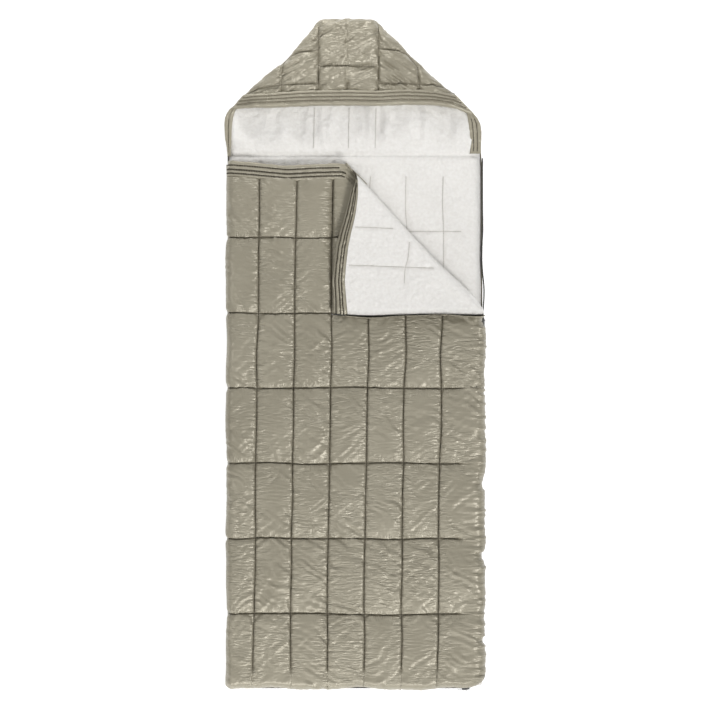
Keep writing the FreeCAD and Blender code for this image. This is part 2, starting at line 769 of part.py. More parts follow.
main_place = FreeCAD.Placement(
    FreeCAD.Vector(zip_line + tape / 2, cell("main_slider_at"), chain), FreeCAD.Rotation()
)
foot_place = FreeCAD.Placement(
    FreeCAD.Vector(cell("foot_slider_at"), foot_edge - tape / 2, chain),
    FreeCAD.Rotation(FreeCAD.Vector(0, 0, 1), -90),
)
for label, placement in (("main_slider", main_place), ("foot_slider", foot_place)):
    slider_body(label + "_body", placement)
    slider_pull(label + "_pull", placement)

# ---------------------------------------------------------------- check and write
doc.recompute()
for item in doc.Objects:
    if "Invalid" in item.State or "Error" in item.State:
        raise RuntimeError("failed feature: " + item.Label)
os.makedirs("parts", exist_ok=True)
for piece in subparts:
    shape = piece.Shape
    if shape.isNull() or not shape.isValid() or shape.Volume <= 0:
        raise RuntimeError("bad shape: " + piece.Label)
    shape.exportStep(os.path.join("parts", piece.Label + ".step"))
whole = FreeCAD.BoundBox()
for piece in subparts:
    whole.add(piece.Shape.BoundBox)
print("%d pieces, %.0f x %.0f x %.0f mm" % (len(subparts), whole.XLength, whole.YLength, whole.ZLength))
print("centre %.1f %.1f, lowest %.2f" % (whole.Center.x, whole.Center.y, whole.ZMin))
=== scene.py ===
import json
import math

import bpy
import numpy as np
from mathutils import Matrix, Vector


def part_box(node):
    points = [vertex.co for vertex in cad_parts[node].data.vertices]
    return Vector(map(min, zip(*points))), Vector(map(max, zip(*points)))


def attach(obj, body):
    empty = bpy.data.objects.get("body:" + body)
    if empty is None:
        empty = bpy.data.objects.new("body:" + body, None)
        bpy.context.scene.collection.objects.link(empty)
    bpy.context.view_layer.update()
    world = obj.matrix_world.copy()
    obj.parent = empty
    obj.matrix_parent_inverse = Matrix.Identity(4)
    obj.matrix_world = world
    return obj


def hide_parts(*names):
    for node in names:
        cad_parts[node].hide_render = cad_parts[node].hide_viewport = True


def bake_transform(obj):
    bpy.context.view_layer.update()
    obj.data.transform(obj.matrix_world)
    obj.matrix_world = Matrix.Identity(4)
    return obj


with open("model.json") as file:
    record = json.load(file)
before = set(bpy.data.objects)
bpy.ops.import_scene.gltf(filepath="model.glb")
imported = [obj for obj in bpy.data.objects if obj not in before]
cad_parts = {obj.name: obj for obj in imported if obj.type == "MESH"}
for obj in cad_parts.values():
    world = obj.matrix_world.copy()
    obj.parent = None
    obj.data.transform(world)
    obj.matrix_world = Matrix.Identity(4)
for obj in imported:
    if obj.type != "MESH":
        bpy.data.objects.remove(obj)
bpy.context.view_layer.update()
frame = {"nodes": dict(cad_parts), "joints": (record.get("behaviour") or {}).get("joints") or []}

# A hooded quilted sleeping bag lying flat, its upper right corner folded back. Metres.
# The satin covers are relaxed as cloth on a grid (settle), pinned along the quilting lines.


# ---------------------------------------------------------------- places from the frame
def side(node, end, axis):
    """One face of a CAD node's box: end 0 low or 1 high, along axis 0, 1 or 2."""
    return float(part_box(node)[end][axis])


LEFT = side("side_fold_shell", 0, 0)
RIGHT = side("front_shell", 1, 0)
FOOT = side("front_shell", 0, 1)
MOUTH = side("front_top_band", 1, 1)
BAND_FOOT = side("front_top_band", 0, 1)
NECK = side("back_shell", 1, 1)
CROWN = side("hood_back_shell", 1, 1)
FRONT_TOP = side("front_shell", 1, 2)
FRONT_UNDER = side("front_lining", 0, 2)
BACK_TOP = side("back_lining", 1, 2)
CHAIN = (BACK_TOP + FRONT_UNDER) / 2
joints = {joint["name"]: joint for joint in frame["joints"]}
FOLD_Z = float(joints["corner_fold"]["pos_m"][2])
FOLD_SUM = float(sum(joints["corner_fold"]["pos_m"][:2]))
FLAP_LEFT = FOLD_SUM - MOUTH
FLAP_FOOT = FOLD_SUM - RIGHT
LEG = MOUTH - FLAP_FOOT

CELL = 0.0037  # spacing of the folded corner's grid
COLUMNS = [LEFT + 0.102 + 0.1146 * i for i in range(6)]
ROWS = [MOUTH - 0.231 - 0.235 * i for i in range(6)]
ROW_END = RIGHT - 0.062
COLUMN_END = FOOT + 0.062
LEAN = -0.018  # the lengthwise seams drift left towards the foot


def smooth(t):
    t = np.clip(t, 0.0, 1.0)
    return t * t * (3 - 2 * t)


def streaks(u, v, seed):
    """Smooth random field, about unit size, at coordinates counted in features."""
    table = np.random.default_rng(seed).standard_normal((128, 128))
    i, j = np.floor(v).astype(int), np.floor(u).astype(int)
    a, b = smooth(v - i), smooth(u - j)
    top = table[i % 128, j % 128] * (1 - b) + table[i % 128, (j + 1) % 128] * b
    low = table[(i + 1) % 128, j % 128] * (1 - b) + table[(i + 1) % 128, (j + 1) % 128] * b
    return top * (1 - a) + low * a


def noise(shape, scale, seed):
    """Smooth random field on a grid, with features of that many cells."""
    v, u = np.indices(shape) / scale
    return streaks(u, v, seed)


# ---------------------------------------------------------------- cloth on a grid
def normals_of(grid):
    across = np.gradient(grid, axis=1)
    along = np.gradient(grid, axis=0)
    n = np.cross(across, along)
    n /= np.maximum(np.linalg.norm(n, axis=2, keepdims=True), 1e-12)
    return n * np.where(n[..., 2:].mean() < 0, -1, 1)


def lengths(a, b):
    return np.linalg.norm(b - a, axis=2, keepdims=True)


SHEAR, BEND = 0.12, 0.05  # share of a diagonal's or a double cell's error mended at each pass
DAMPING = 0.9  # share of its speed that cloth keeps from round to round
PUSH = 0.0009  # how far the filling lifts cloth in one round


def settle(base, pinned, targets, excess, crown, folds, rounds):
    """Relax cloth with spare length over a base surface.

    base is the smooth surface the cloth is cut for, pinned the nodes sewn down at targets,
    excess the spare length, crown how far the filling lifts the cloth off the base and
    folds the first lift from which the wrinkles grow."""
    free = (~pinned).astype(np.float32)[..., None]
    out = normals_of(base).astype(np.float32)
    start = base.astype(np.float32)
    now = start + out * (crown * 0.5 + folds)[..., None].astype(np.float32)
    now = np.where(pinned[..., None], targets, now).astype(np.float32)
    spare = 1 + excess
    links = []
    for first, second in (
        (np.s_[:, 0:-1:2], np.s_[:, 1::2]),
        (np.s_[:, 1:-1:2], np.s_[:, 2::2]),
        (np.s_[0:-1:2], np.s_[1::2]),
        (np.s_[1:-1:2], np.s_[2::2]),
    ):
        a, b = start[first], start[second]
        links.append((first, second, lengths(a, b) * spare, free[first], free[second]))
    soft = []
    for first, second, strength in (
        (np.s_[:-1, :-1], np.s_[1:, 1:], SHEAR),
        (np.s_[:-1, 1:], np.s_[1:, :-1], SHEAR),
        (np.s_[:, :-2], np.s_[:, 2:], BEND),
        (np.s_[:-2], np.s_[2:], BEND),
    ):
        rest = lengths(start[first], start[second]) * spare
        soft.append((first, second, rest, strength))
    speed = np.zeros_like(now)
    for _ in range(rounds):
        before = now.copy()
        lift = ((now - start) * out).sum(axis=2, keepdims=True)
        now += free * (DAMPING * speed + out * PUSH * np.clip(1 - lift / crown, -1.5, 1))
        for _ in range(5):
            for first, second, rest, free_a, free_b in links:
                gap = now[second] - now[first]
                size = np.maximum(np.linalg.norm(gap, axis=2, keepdims=True), 1e-9)
                move = gap * ((size - rest) / (size * np.maximum(free_a + free_b, 1)))
                now[first] += move * free_a
                now[second] -= move * free_b
            for first, second, rest, strength in soft:
                gap = now[second] - now[first]
                size = np.maximum(np.linalg.norm(gap, axis=2, keepdims=True), 1e-9)
                move = gap * (strength * (size - rest) / size)
                now[first] += move * free[first]
                now[second] -= move * free[second]
        speed = now - before
    return now.astype(float)


def soften(grid, keep):
    """Average each node a little with its neighbours, except where keep is true."""
    mean = grid.copy()
    mean[1:-1, 1:-1] = (
        4 * grid[1:-1, 1:-1] + grid[:-2, 1:-1] + grid[2:, 1:-1] + grid[1:-1, :-2] + grid[1:-1, 2:]
    ) / 8
    return np.where(keep[..., None], grid, mean)


def quilted(base, pinned, targets, excess, crown, folds, seam, lift):
    """Settled cloth, its folds lifted once more, and held in plan beside its seams."""
    cloth = settle(base, pinned, targets, excess, crown, folds, 45)
    cloth = soften(cloth, pinned)
    cloth = cloth + normals_of(cloth) * (lift * folds * ~pinned)[..., None]
    beside = smooth(seam / 0.009)[..., None]
    cloth[..., :2] = targets[..., :2] * (1 - beside) + cloth[..., :2] * beside
    return cloth


def gather_mask(upright, level, x, y, seed):
    """How strongly cloth is gathered: square to upright seams, square to level seams, slanting."""
    reach = 0.020 + 0.010 * streaks(x / 0.06, y / 0.06, seed)
    patch = smooth(0.45 + 0.7 * streaks(x / 0.05, y / 0.06, seed + 1))
    red = np.exp(-((upright / np.maximum(reach * 1.5, 0.012)) ** 2)) * (0.55 + 0.45 * patch)
    green = np.exp(-((level / np.maximum(reach, 0.010)) ** 2)) * (0.5 + 0.5 * patch) * (1 - red)
    blue = smooth(0.3 + 0.7 * streaks(x / 0.07, y / 0.09, seed + 2)) * (1 - np.maximum(red, green)) * 0.8
    return np.stack([red, green, blue], axis=-1)


# ---------------------------------------------------------------- meshes and bodies
CROWN_REACH = 0.009  # how much further the cloth at the crown reaches than the shapes below say


def put(name, data, place=(0, 0, 0)):
    """A new object in the scene."""
    thing = bpy.data.objects.new(name, data)
    bpy.context.scene.collection.objects.link(thing)
    thing.location = place
    return thing


def finish_mesh(name, points, faces, material, slot, body=None, replaced=()):
    points = np.array(points, dtype=float)
    points[:, 1] += CROWN_REACH * smooth((points[:, 1] - 0.93) / 0.11)
    mesh = bpy.data.meshes.new(name)
    mesh.from_pydata([tuple(p) for p in points], [], faces)
    mesh.update()
    mesh.polygons.foreach_set("use_smooth", [True] * len(mesh.polygons))
    mesh.materials.append(material)
    piece = put(name, mesh)
    if body:
        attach(piece, body)
    if replaced:
        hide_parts(*replaced)
    return piece


def grid_faces(rows, columns, wanted=None, flip=False):
    """Quads of a grid; wanted is a node mask, and a cell with three wanted nodes keeps a triangle."""
    index = np.arange(rows * columns).reshape(rows, columns)
    a, b = index[:-1, :-1], index[:-1, 1:]
    c, d = index[1:, 1:], index[1:, :-1]
    cells = np.stack([a, b, c, d], axis=2).reshape(-1, 4)
    if wanted is None:
        faces = cells.tolist()
    else:
        held = wanted.reshape(-1)[cells]
        count = held.sum(axis=1)
        faces = cells[count == 4].tolist()
        for corners, kept in zip(cells[count == 3], held[count == 3]):
            faces.append(corners[kept].tolist())
    if flip:
        faces = [face[::-1] for face in faces]
    return faces


def grid_piece(name, grid, material, wanted=None, flip=False, mask=None, bend=None, fill=None, **kind):
    """A mesh of a grid's wanted cells, with its unused points left out.

    mask is the gather mask of every node, kept as a colour attribute; bend, when given, only has
    the piece's transform baked in; fill the filling's share of a padded piece, which is not used."""
    rows, columns = grid.shape[:2]
    faces = grid_faces(rows, columns, wanted, flip)
    points = grid.reshape(-1, 3)
    used = sorted({i for face in faces for i in face})
    place = {old: new for new, old in enumerate(used)}
    faces = [[place[i] for i in face] for face in faces]
    piece = finish_mesh(name, points[used], faces, material, **kind)
    if mask is not None:
        colours = np.ones((len(used), 4))
        colours[:, :3] = mask.reshape(-1, 3)[used]
        layer = piece.data.attributes.new("gathers", "FLOAT_COLOR", "POINT")
        layer.data.foreach_set("color", colours.reshape(-1))
    if bend:
        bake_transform(piece)


def turned_back(points):
    """A point of the closed corner, where it lies with the corner folded back."""
    x, y, z = points[..., 0], points[..., 1], points[..., 2]
    return np.stack([FOLD_SUM - y, FOLD_SUM - x, 2 * FOLD_Z - z], axis=-1)


def capsules(starts, ends, up, thick, sink):
    """Points and faces of short round strands from starts to ends, their ends sunk by sink."""
    along = ends - starts
    way = along / np.maximum(np.linalg.norm(along, axis=1, keepdims=True), 1e-9)
    side_way = np.cross(way, up)
    side_way /= np.maximum(np.linalg.norm(side_way, axis=1, keepdims=True), 1e-9)
    above = np.cross(side_way, way)
    rings = []
    for share, width, drop in ((0.0, 0.4, 1.0), (0.2, 1.0, 0.1), (0.8, 1.0, 0.1), (1.0, 0.4, 1.0)):
        middle = starts + along * share - up * (drop * sink)
        for k in range(6):
            angle = k * math.pi / 3
            rings.append(middle + (side_way * math.cos(angle) + above * math.sin(angle)) * thick * width)
    points = np.stack(rings, axis=1).reshape(-1, 3)
    first = np.arange(len(starts))[:, None] * 24
    faces = []
    for ring in range(3):
        for k in range(6):
            a, b = ring * 6 + k, ring * 6 + (k + 1) % 6
            faces.append(np.concatenate([first + a, first + b, first + b + 6, first + a + 6], axis=1))
    quads = np.concatenate(faces).tolist()
    caps = np.concatenate([first + np.arange(6)[::-1], first + 18 + np.arange(6)]).tolist()
    return points, quads + caps


def resample(points, cell, rounds=0):
    points = np.array(points, float)
    gaps = np.linalg.norm(np.diff(points, axis=0), axis=1)
    run = np.concatenate([[0], np.cumsum(gaps)])
    at = np.linspace(0, run[-1], max(int(run[-1] / cell), 2) + 1)
    out = np.stack([np.interp(at, run, points[:, k]) for k in range(points.shape[1])], axis=1)
    for _ in range(rounds):
        out[1:-1] = (out[:-2] + 2 * out[1:-1] + out[2:]) / 4
    return out


def nearest_node(grid, x, y):
    """Index of the node nearest to a point in plan, and how far off it is."""
    gap = np.hypot(grid[..., 0] - x, grid[..., 1] - y)
    node = np.unravel_index(np.argmin(gap), gap.shape)
    return node, gap[node]


def on_surface(line, surface):
    """Points of a plan polyline laid on a surface grid."""
    return np.array([(x, y, surface[nearest_node(surface, x, y)[0]][2]) for x, y in line])


def flat(points):
    """Plan points with a height of 0."""
    return np.array([(x, y, 0.0) for x, y in points])


def stitch_piece(name, lines, material, body, replaced=(), up=(0, 0, 1), thick=0.0012, lift=0.0009):
    """Rows of stitches lying on polylines."""
    starts, ends = [], []
    for line in lines:
        if len(line) < 2:
            continue
        ticks = resample(line, 0.0052)
        way = ticks[1:] - ticks[:-1]
        starts.append(ticks[:-1] + way * 0.06)
        ends.append(ticks[:-1] + way * 0.94)
    starts, ends = np.concatenate(starts), np.concatenate(ends)
    up = np.tile(np.array(up, float), (len(starts), 1))
    points, faces = capsules(starts + up * lift, ends + up * lift, up, thick, 0.0008)
    finish_mesh(name, points, faces, material, body=body, replaced=replaced, slot="thread")


# ---------------------------------------------------------------- materials
class Paint:
    """A node material built round its Principled shader."""

    def __init__(self, name):
        self.material = bpy.data.materials.new(name)
        self.material.use_nodes = True
        self.tree = self.material.node_tree
        self.shader = self.tree.nodes["Principled BSDF"]
        self.place = self.add("TexCoord").outputs["Object"]

    def feed(self, node, sockets):
        """Set a node's sockets, each to a value or to the output that feeds it."""
        for socket, value in sockets.items():
            if isinstance(value, bpy.types.NodeSocket):
                self.tree.links.new(value, node.inputs[socket])
            else:
                node.inputs[socket].default_value = value
        return node

    def add(self, kind, sockets=None):
        return self.feed(self.tree.nodes.new("ShaderNode" + kind), sockets or {})

    def compute(self, operation, *terms):
        node = self.add("Math")
        node.operation = operation
        return self.feed(node, dict(enumerate(terms))).outputs["Value"]

    def noise(self, scale, detail=3.0, stretch=None, turn=0.0, distortion=0.0, output="Fac"):
        """A noise texture, drawn out by stretch and turned about z."""
        place = self.place
        if stretch:
            drawn = {"Scale": stretch, "Rotation": (0, 0, turn), "Vector": place}
            place = self.add("Mapping", drawn).outputs["Vector"]
        look = {"Scale": scale, "Detail": detail, "Distortion": distortion, "Vector": place}
        return self.add("TexNoise", look).outputs[output]

    def tone(self, height, low, high):
        """Base colour that drifts between two tones with a height."""
        ramp = self.add("ValToRGB", {"Fac": height})
        for element, position, colour in zip(ramp.color_ramp.elements, (0.3, 0.7), (low, high)):
            element.position = position
            element.color = (*colour, 1)
        self.feed(self.shader, {"Base Color": ramp.outputs["Color"]})

    def bumps(self, *heights):
        """Stack bumps, each (height, strength, distance)."""
        normal = {}
        for height, strength, distance in heights:
            look = {"Height": height, "Strength": strength, "Distance": distance}
            normal = {"Normal": self.add("Bump", look | normal).outputs["Normal"]}
        self.feed(self.shader, normal)


def gather_heights(paint):
    """Fine gathers, strongest where a mesh's "gathers" attribute says, in three directions."""
    mask = paint.add("Attribute")
    mask.attribute_name = "gathers"
    parts = paint.add("SeparateColor", {"Color": mask.outputs["Color"]})
    total = 0
    directions = ("Red", (1, 5.2, 1), 0), ("Green", (5.2, 1, 1), 0), ("Blue", (1, 4.6, 1), 0.65)
    for channel, stretch, turn in directions:
        height = paint.noise(24, 1.5, stretch, turn, distortion=0.5)
        ridge = paint.compute("ABSOLUTE", paint.compute("SUBTRACT", height, 0.5))
        ridge = paint.compute("MULTIPLY", ridge, -1.7)
        total = paint.compute("MULTIPLY_ADD", ridge, parts.outputs[channel], total)
    return total


def satin_material(name, low, high, roughness):
    """Tightly woven polyester satin: broad tone drift, fine creases and a hair-fine weave."""
    paint = Paint(name)
    paint.tone(paint.noise(7, 4), low, high)
    gloss = {"To Min": roughness - 0.05, "To Max": roughness + 0.07, "Value": paint.noise(60)}
    paint.bumps(
        (gather_heights(paint), 1.0, 0.0055),
        (paint.noise(62, 3, (1, 0.32, 1), 0.75), 0.5, 0.0022),
        (paint.noise(900, 2, (1, 0.35, 1)), 0.25, 0.0002),
    )
    look = {"Metallic": 0.22, "Specular IOR Level": 0.6, "Sheen Weight": 0.12, "Sheen Roughness": 0.4}
    paint.feed(paint.shader, look | {"Roughness": paint.add("MapRange", gloss).outputs["Result"]})
    return paint.material


def plush_material(name):
    """Sherpa: curly matt pile in small tufts."""
    paint = Paint(name)
    warped = {"Fac": 0.03, "Color1": paint.place, "Color2": paint.noise(140, output="Color")}
    tufts = paint.add("TexVoronoi", {"Scale": 170, "Vector": paint.add("MixRGB", warped).outputs["Color"]})
    tufts.feature = "SMOOTH_F1"
    paint.tone(paint.noise(110, 5), (0.785, 0.765, 0.73), (0.845, 0.83, 0.80))
    paint.bumps((tufts.outputs["Distance"], 0.55, 0.004), (paint.noise(420, 4), 0.5, 0.0015))
    look = {"Roughness": 0.95, "Sheen Weight": 0.5, "Sheen Roughness": 0.6, "Specular IOR Level": 0.1}
    paint.feed(paint.shader, look)
    return paint.material


def plain_material(name, low, high, roughness, metallic=0.0, grain=400):
    """Tape, coil, thread, moulding or cast metal: small grain in tone and surface."""
    paint = Paint(name)
    drift = paint.noise(grain)
    paint.tone(drift, low, high)
    paint.bumps((drift, 0.5, 0.0003))
    paint.feed(paint.shader, {"Roughness": roughness, "Metallic": metallic})
    return paint.material


satin = satin_material("satin_cover", (0.283, 0.257, 0.192), (0.325, 0.297, 0.226), 0.40)
# The bands' satin is the cover's satin made about a tenth lighter. This is painted light standing in for the
# brighter light on the bands' padded ridges.
band_satin_painted_light = satin_material("band_satin_painted_light", (0.322, 0.293, 0.222), (0.366, 0.336, 0.257), 0.43)
plush = plush_material("sherpa_pile")
# Band and flap stitching: real thread, made near black and thick so that it also carries the painted shade
# of the stitched grooves.
thread = plain_material("quilting_thread_painted_groove_shade", (0.035, 0.029, 0.018), (0.06, 0.05, 0.032), 0.85)
# Front quilting: real thread, made dark brown so that it also carries the painted shade of the quilting
# grooves.
seam_thread_painted_groove_shade = plain_material("seam_thread_painted_groove_shade", (0.07, 0.06, 0.041), (0.11, 0.094, 0.065), 0.85)
# Hood and brim quilting: real thread, made darker than the satin so that it also carries the painted shade
# of the stitched grooves.
hood_thread_painted_groove_shade = plain_material("hood_thread_painted_groove_shade", (0.14, 0.123, 0.088), (0.19, 0.168, 0.122), 0.85)
# Lining stitching: real thread, made grey so that it also carries the painted shade of the seams sunk into
# the pile.
pale_thread_painted_seam_shade = plain_material("lining_thread_painted_seam_shade", (0.56, 0.54, 0.50), (0.62, 0.60, 0.56), 0.8)
tape_cloth = plain_material("zip_tape_cloth", (0.03, 0.03, 0.028), (0.06, 0.058, 0.054), 0.85, grain=900)
coil_nylon = plain_material("zip_coil_nylon", (0.03, 0.03, 0.03), (0.05, 0.05, 0.048), 0.45)
cast_metal = plain_material("slider_metal", (0.30, 0.30, 0.29), (0.38, 0.38, 0.37), 0.35, 1.0)
pull_black = plain_material("pull_moulding", (0.035, 0.035, 0.035), (0.055, 0.055, 0.055), 0.5)


# ---------------------------------------------------------------- camera and light
PIXELS = 710
SCALE = 0.003113  # metres of the bag's top face that one pixel shows
camera_data = bpy.data.cameras.new("camera")
camera_data.lens = 100
camera_data.sensor_width = 36
camera_data.clip_end = 50
away = PIXELS * SCALE * camera_data.lens / camera_data.sensor_width
bpy.context.scene.camera = put("camera", camera_data, (0, 0, away + FRONT_TOP))


def light(name, kind, place, target, power):
    """A lamp at place that shines at target."""
    data = bpy.data.lights.new(name, kind)
    data.energy = power
    lamp = put(name, data, place)
    lamp.rotation_euler = (Vector(place) - Vector(target)).to_track_quat("Z", "Y").to_euler()
    return data


# Distant softboxes, the last number their spread in degrees.
for name, place, power, spread in (
    ("key_light", (1.4, -2.0, 2.8), 1.95, 14),
    ("left_light", (-1.8, -0.4, 2.6), 0.42, 24),
    ("head_light", (0.5, 2.0, 3.4), 0.20, 30),
):
    light(name, "SUN", place, (0, 0, 0), power).angle = math.radians(spread)

# Low softboxes that brighten one end of the bag, the last number their width.
for name, place, target, power, wide in (
    ("hood_light", (-0.25, 1.95, 0.55), (-0.05, 0.9, 0.05), 9, 0.6),
    ("foot_light", (-0.4, -2.3, 1.05), (-0.1, -0.5, 0.05), 11, 0.9),
):
    softbox = light(name, "AREA", place, target, power)
    softbox.shape = "RECTANGLE"
    softbox.size, softbox.size_y = wide, 0.25

world = bpy.data.worlds.new("studio")
bpy.context.scene.world = world
world.use_nodes = True
sky = world.node_tree.nodes["Background"]
sky.inputs["Color"].default_value = (1, 1, 1, 1)
sky.inputs["Strength"].default_value = 0.31
bpy.context.scene.view_settings.view_transform = "Standard"

floor_mesh = bpy.data.meshes.new("floor")
floor_mesh.from_pydata([(-30, -30, 0), (30, -30, 0), (30, 30, 0), (-30, 30, 0)], [], [(0, 1, 2, 3)])
floor_paint = Paint("floor_paint")
floor_look = {"Base Color": (0.62, 0.62, 0.62, 1), "Emission Color": (1, 1, 1, 1), "Roughness": 0.9}
floor_paint.feed(floor_paint.shader, floor_look | {"Emission Strength": 0.72})
floor_mesh.materials.append(floor_paint.material)
put("floor", floor_mesh)


# ---------------------------------------------------------------- front panel, drawn closed
EDGE_IN = 0.026  # how far in from the edge the cover has finished rising
EDGE_ARC = 0.044  # cloth from the edge to there
EDGE_LOW = CHAIN + 0.001
PILLOW = FRONT_TOP - 0.001
VALLEY = 0.0034  # how far the quilting lines pull the cover down
VALLEY_WIDE = 0.0030


def edge_profile(s):
    """How far in and how high the cover is at a distance along the cloth from its edge."""
    angle = np.clip(s / EDGE_ARC, 0, 1) * math.pi / 2
    inward = EDGE_IN * (1 - np.cos(angle)) + np.maximum(s - EDGE_ARC, 0)
    return inward, np.sin(angle)


EDGE_DIPS = (-0.627, 0.014, 0.022), (-0.892, 0.007, 0.018), (-0.406, 0.009, 0.022), (-0.12, 0.003, 0.014)


def edge_dips(y):
    """Where the long zipped edge is drawn in."""
    out = 0 * y
    for place, depth, wide in EDGE_DIPS:
        out = out + depth * np.exp(-(((y - place) / wide) ** 2))
    return out


def right_wobble(y):
    out = 0.0045 + 0.0018 * np.sin(y * 17) + 0.001 * np.sin(y * 41 + 1)
    return out - edge_dips(y) - 0.012 * np.exp(-(((y - 0.108) / 0.014) ** 2))


def left_wobble(y):
    out = 0.0015 * np.sin(y * 15 + 1) + 0.001 * np.sin(y * 37) - 0.001
    for place in ROWS:
        out = out + 0.006 * np.exp(-(((y - place) / 0.010) ** 2))
    return out


def round_corner(x, y, corner_x, radius):
    """Move points of a square foot corner onto a round one."""
    sign = 1 if corner_x > 0 else -1
    qx = sign * (x - (corner_x - sign * radius))
    qy = (FOOT + radius) - y
    inside = (qx > 0) & (qy > 0)
    size = np.hypot(qx, qy)
    share = np.where(inside & (size > 0), np.maximum(qx, qy) / np.maximum(size, 1e-9), 1)
    x = np.where(inside, corner_x - sign * radius + sign * qx * share, x)
    y = np.where(inside, FOOT + radius - qy * share, y)
    return x, y


def nearest(values, wanted):
    return int(np.argmin(np.abs(np.asarray(values) - wanted)))


def line_distance(x, y, points):
    """Distance in plan from every node to a polyline."""
    best = np.full(x.shape, 9.0)
    for (ax, ay), (bx, by) in zip(points[:-1], points[1:]):
        dx, dy = bx - ax, by - ay
        t = np.clip(((x - ax) * dx + (y - ay) * dy) / (dx * dx + dy * dy), 0, 1)
        best = np.minimum(best, np.hypot(x - ax - t * dx, y - ay - t * dy))
    return best


def seam_distance(x, y, lines):
    """Distance in plan from every node to the nearest of several polylines."""
    return np.min([line_distance(x, y, line) for line in lines], axis=0)


def gather_folds(x, y, upright, level, seed):
    """Wrinkles of quilted cloth: short folds square to each seam, and long slanting ones.

    upright and level are distances to the lengthwise and crosswise seams."""
    wander = 0.006 * streaks(x / 0.05, y / 0.05, seed)
    reach = 0.020 + 0.012 * streaks(x / 0.07, y / 0.02, seed + 1)
    near = np.exp(-upright / np.maximum(reach, 0.008))
    out = 0.0019 * near * streaks(x / 0.026, (y + wander) / 0.0054, seed + 2)
    near = np.exp(-level / np.maximum(reach * 0.9, 0.008))
    out = out + 0.0019 * near * streaks((x + wander) / 0.0085, y / 0.030, seed + 3)
    for turn, strength, number in ((0.62, 0.0024, 4), (1.05, 0.0015, 6), (2.4, 0.0011, 8)):
        along = (x * math.cos(turn) - y * math.sin(turn)) / 0.055
        across = (x * math.sin(turn) + y * math.cos(turn) + wander) / 0.0088
        patch = smooth(0.5 + 0.8 * streaks(x / 0.09, y / 0.09, seed + number))
        out = out + strength * patch * streaks(along, across, seed + number + 1)
    return out


def spaced(length, marks, cell, close):
    """Places along a length, about a cell apart and closer together beside its marks."""
    stops = [0.0, *sorted(marks), length]
    out = [0.0]
    for a, b in zip(stops[:-1], stops[1:]):
        after = [a + gap for gap in close] if a > 0 else []
        ahead = [b - gap for gap in close[::-1]] if b < length else []
        start = after[-1] if after else a
        stop = ahead[0] if ahead else b
        middle = list(np.linspace(start, stop, max(int(round((stop - start) / cell)), 1) + 1))
        out += after[:-1] + middle[0 if after else 1:] + ahead[1:] + ([b] if ahead else [])
    return np.array(out)


def front_base():
    """Plan of the closed front panel, and how far it has risen from its edges."""
    cloth_width = (RIGHT - LEFT) - 2 * EDGE_IN + 2 * EDGE_ARC
    marks = [place - LEFT - EDGE_IN + EDGE_ARC for place in COLUMNS]
    s = spaced(cloth_width, marks, 0.0052, (0.0016, 0.0044, 0.0085))
    in_left, rise_left = edge_profile(s)
    in_right, rise_right = edge_profile(cloth_width - s)
    x = np.where(s < cloth_width / 2, LEFT + in_left, RIGHT - in_right)
    cloth_length = (BAND_FOOT + 0.008 - FOOT) - EDGE_IN + EDGE_ARC
    t = spaced(cloth_length, [BAND_FOOT + 0.008 - place for place in ROWS], 0.0029, (0.0016, 0.0041))
    in_foot, rise_y = edge_profile(cloth_length - t)
    y = np.where(t < cloth_length / 2, BAND_FOOT + 0.008 - t, FOOT + in_foot)
    xx, yy = np.meshgrid(x, y)
    return xx, yy, np.minimum(rise_left, rise_right)[None, :] * rise_y[:, None], x, y


def placed(xx, yy):
    """The drawn plan with its round corners, leaning seams and uneven edges."""
    x, y = round_corner(xx, yy, RIGHT, 0.055)
    x, y = round_corner(x, y, LEFT, 0.020)
    inner = smooth((x - LEFT) / 0.08) * smooth((RIGHT - x) / 0.08)
    drift = LEAN * smooth((MOUTH - y) / (MOUTH - FOOT)) * inner
    wander = 0.0022 * streaks(x / 0.16, y / 0.11, 6) * inner
    wave = right_wobble(y) * smooth((x - (RIGHT - 0.09)) / 0.09)
    wave = wave + left_wobble(y) * smooth((LEFT + 0.05 - x) / 0.05)
    foot_wave = 0.003 * np.sin(x * 21 + 0.6) + 0.0015 * np.sin(x * 47) + 0.0015
    sag = 0.0025 * streaks(x / 0.13, y / 0.19, 7) * inner
    y = y + foot_wave * smooth((FOOT + 0.05 - y) / 0.05) * smooth((x - LEFT) / 0.05) + sag
    return x + drift + wander + wave, y


plan_x, plan_y, risen, x_line, y_line = front_base()
last_row = nearest(y_line, COLUMN_END)
end_column = nearest(x_line, ROW_END)
columns_at = [nearest(x_line, place) for place in COLUMNS]
rows_at = [nearest(y_line, place) for place in ROWS]
front_lines = [[(row, column) for row in range(3, last_row)] for column in columns_at]
front_lines += [[(row, column) for column in range(end_column)] for row in rows_at]
upright = seam_distance(plan_x, plan_y, [[(x_line[c], MOUTH), (x_line[c], COLUMN_END)] for c in columns_at])
level = seam_distance(plan_x, plan_y, [[(LEFT, y_line[r]), (ROW_END, y_line[r])] for r in rows_at])
sewn = np.zeros(plan_x.shape, bool)
for line in front_lines:
    for node in line:
        sewn[node] = True
seam = np.minimum(upright, level)
dip = VALLEY * np.exp(-seam / VALLEY_WIDE)
dip = dip + 0.010 * np.exp(-level / 0.048) + 0.0015 * np.exp(-upright / 0.022)
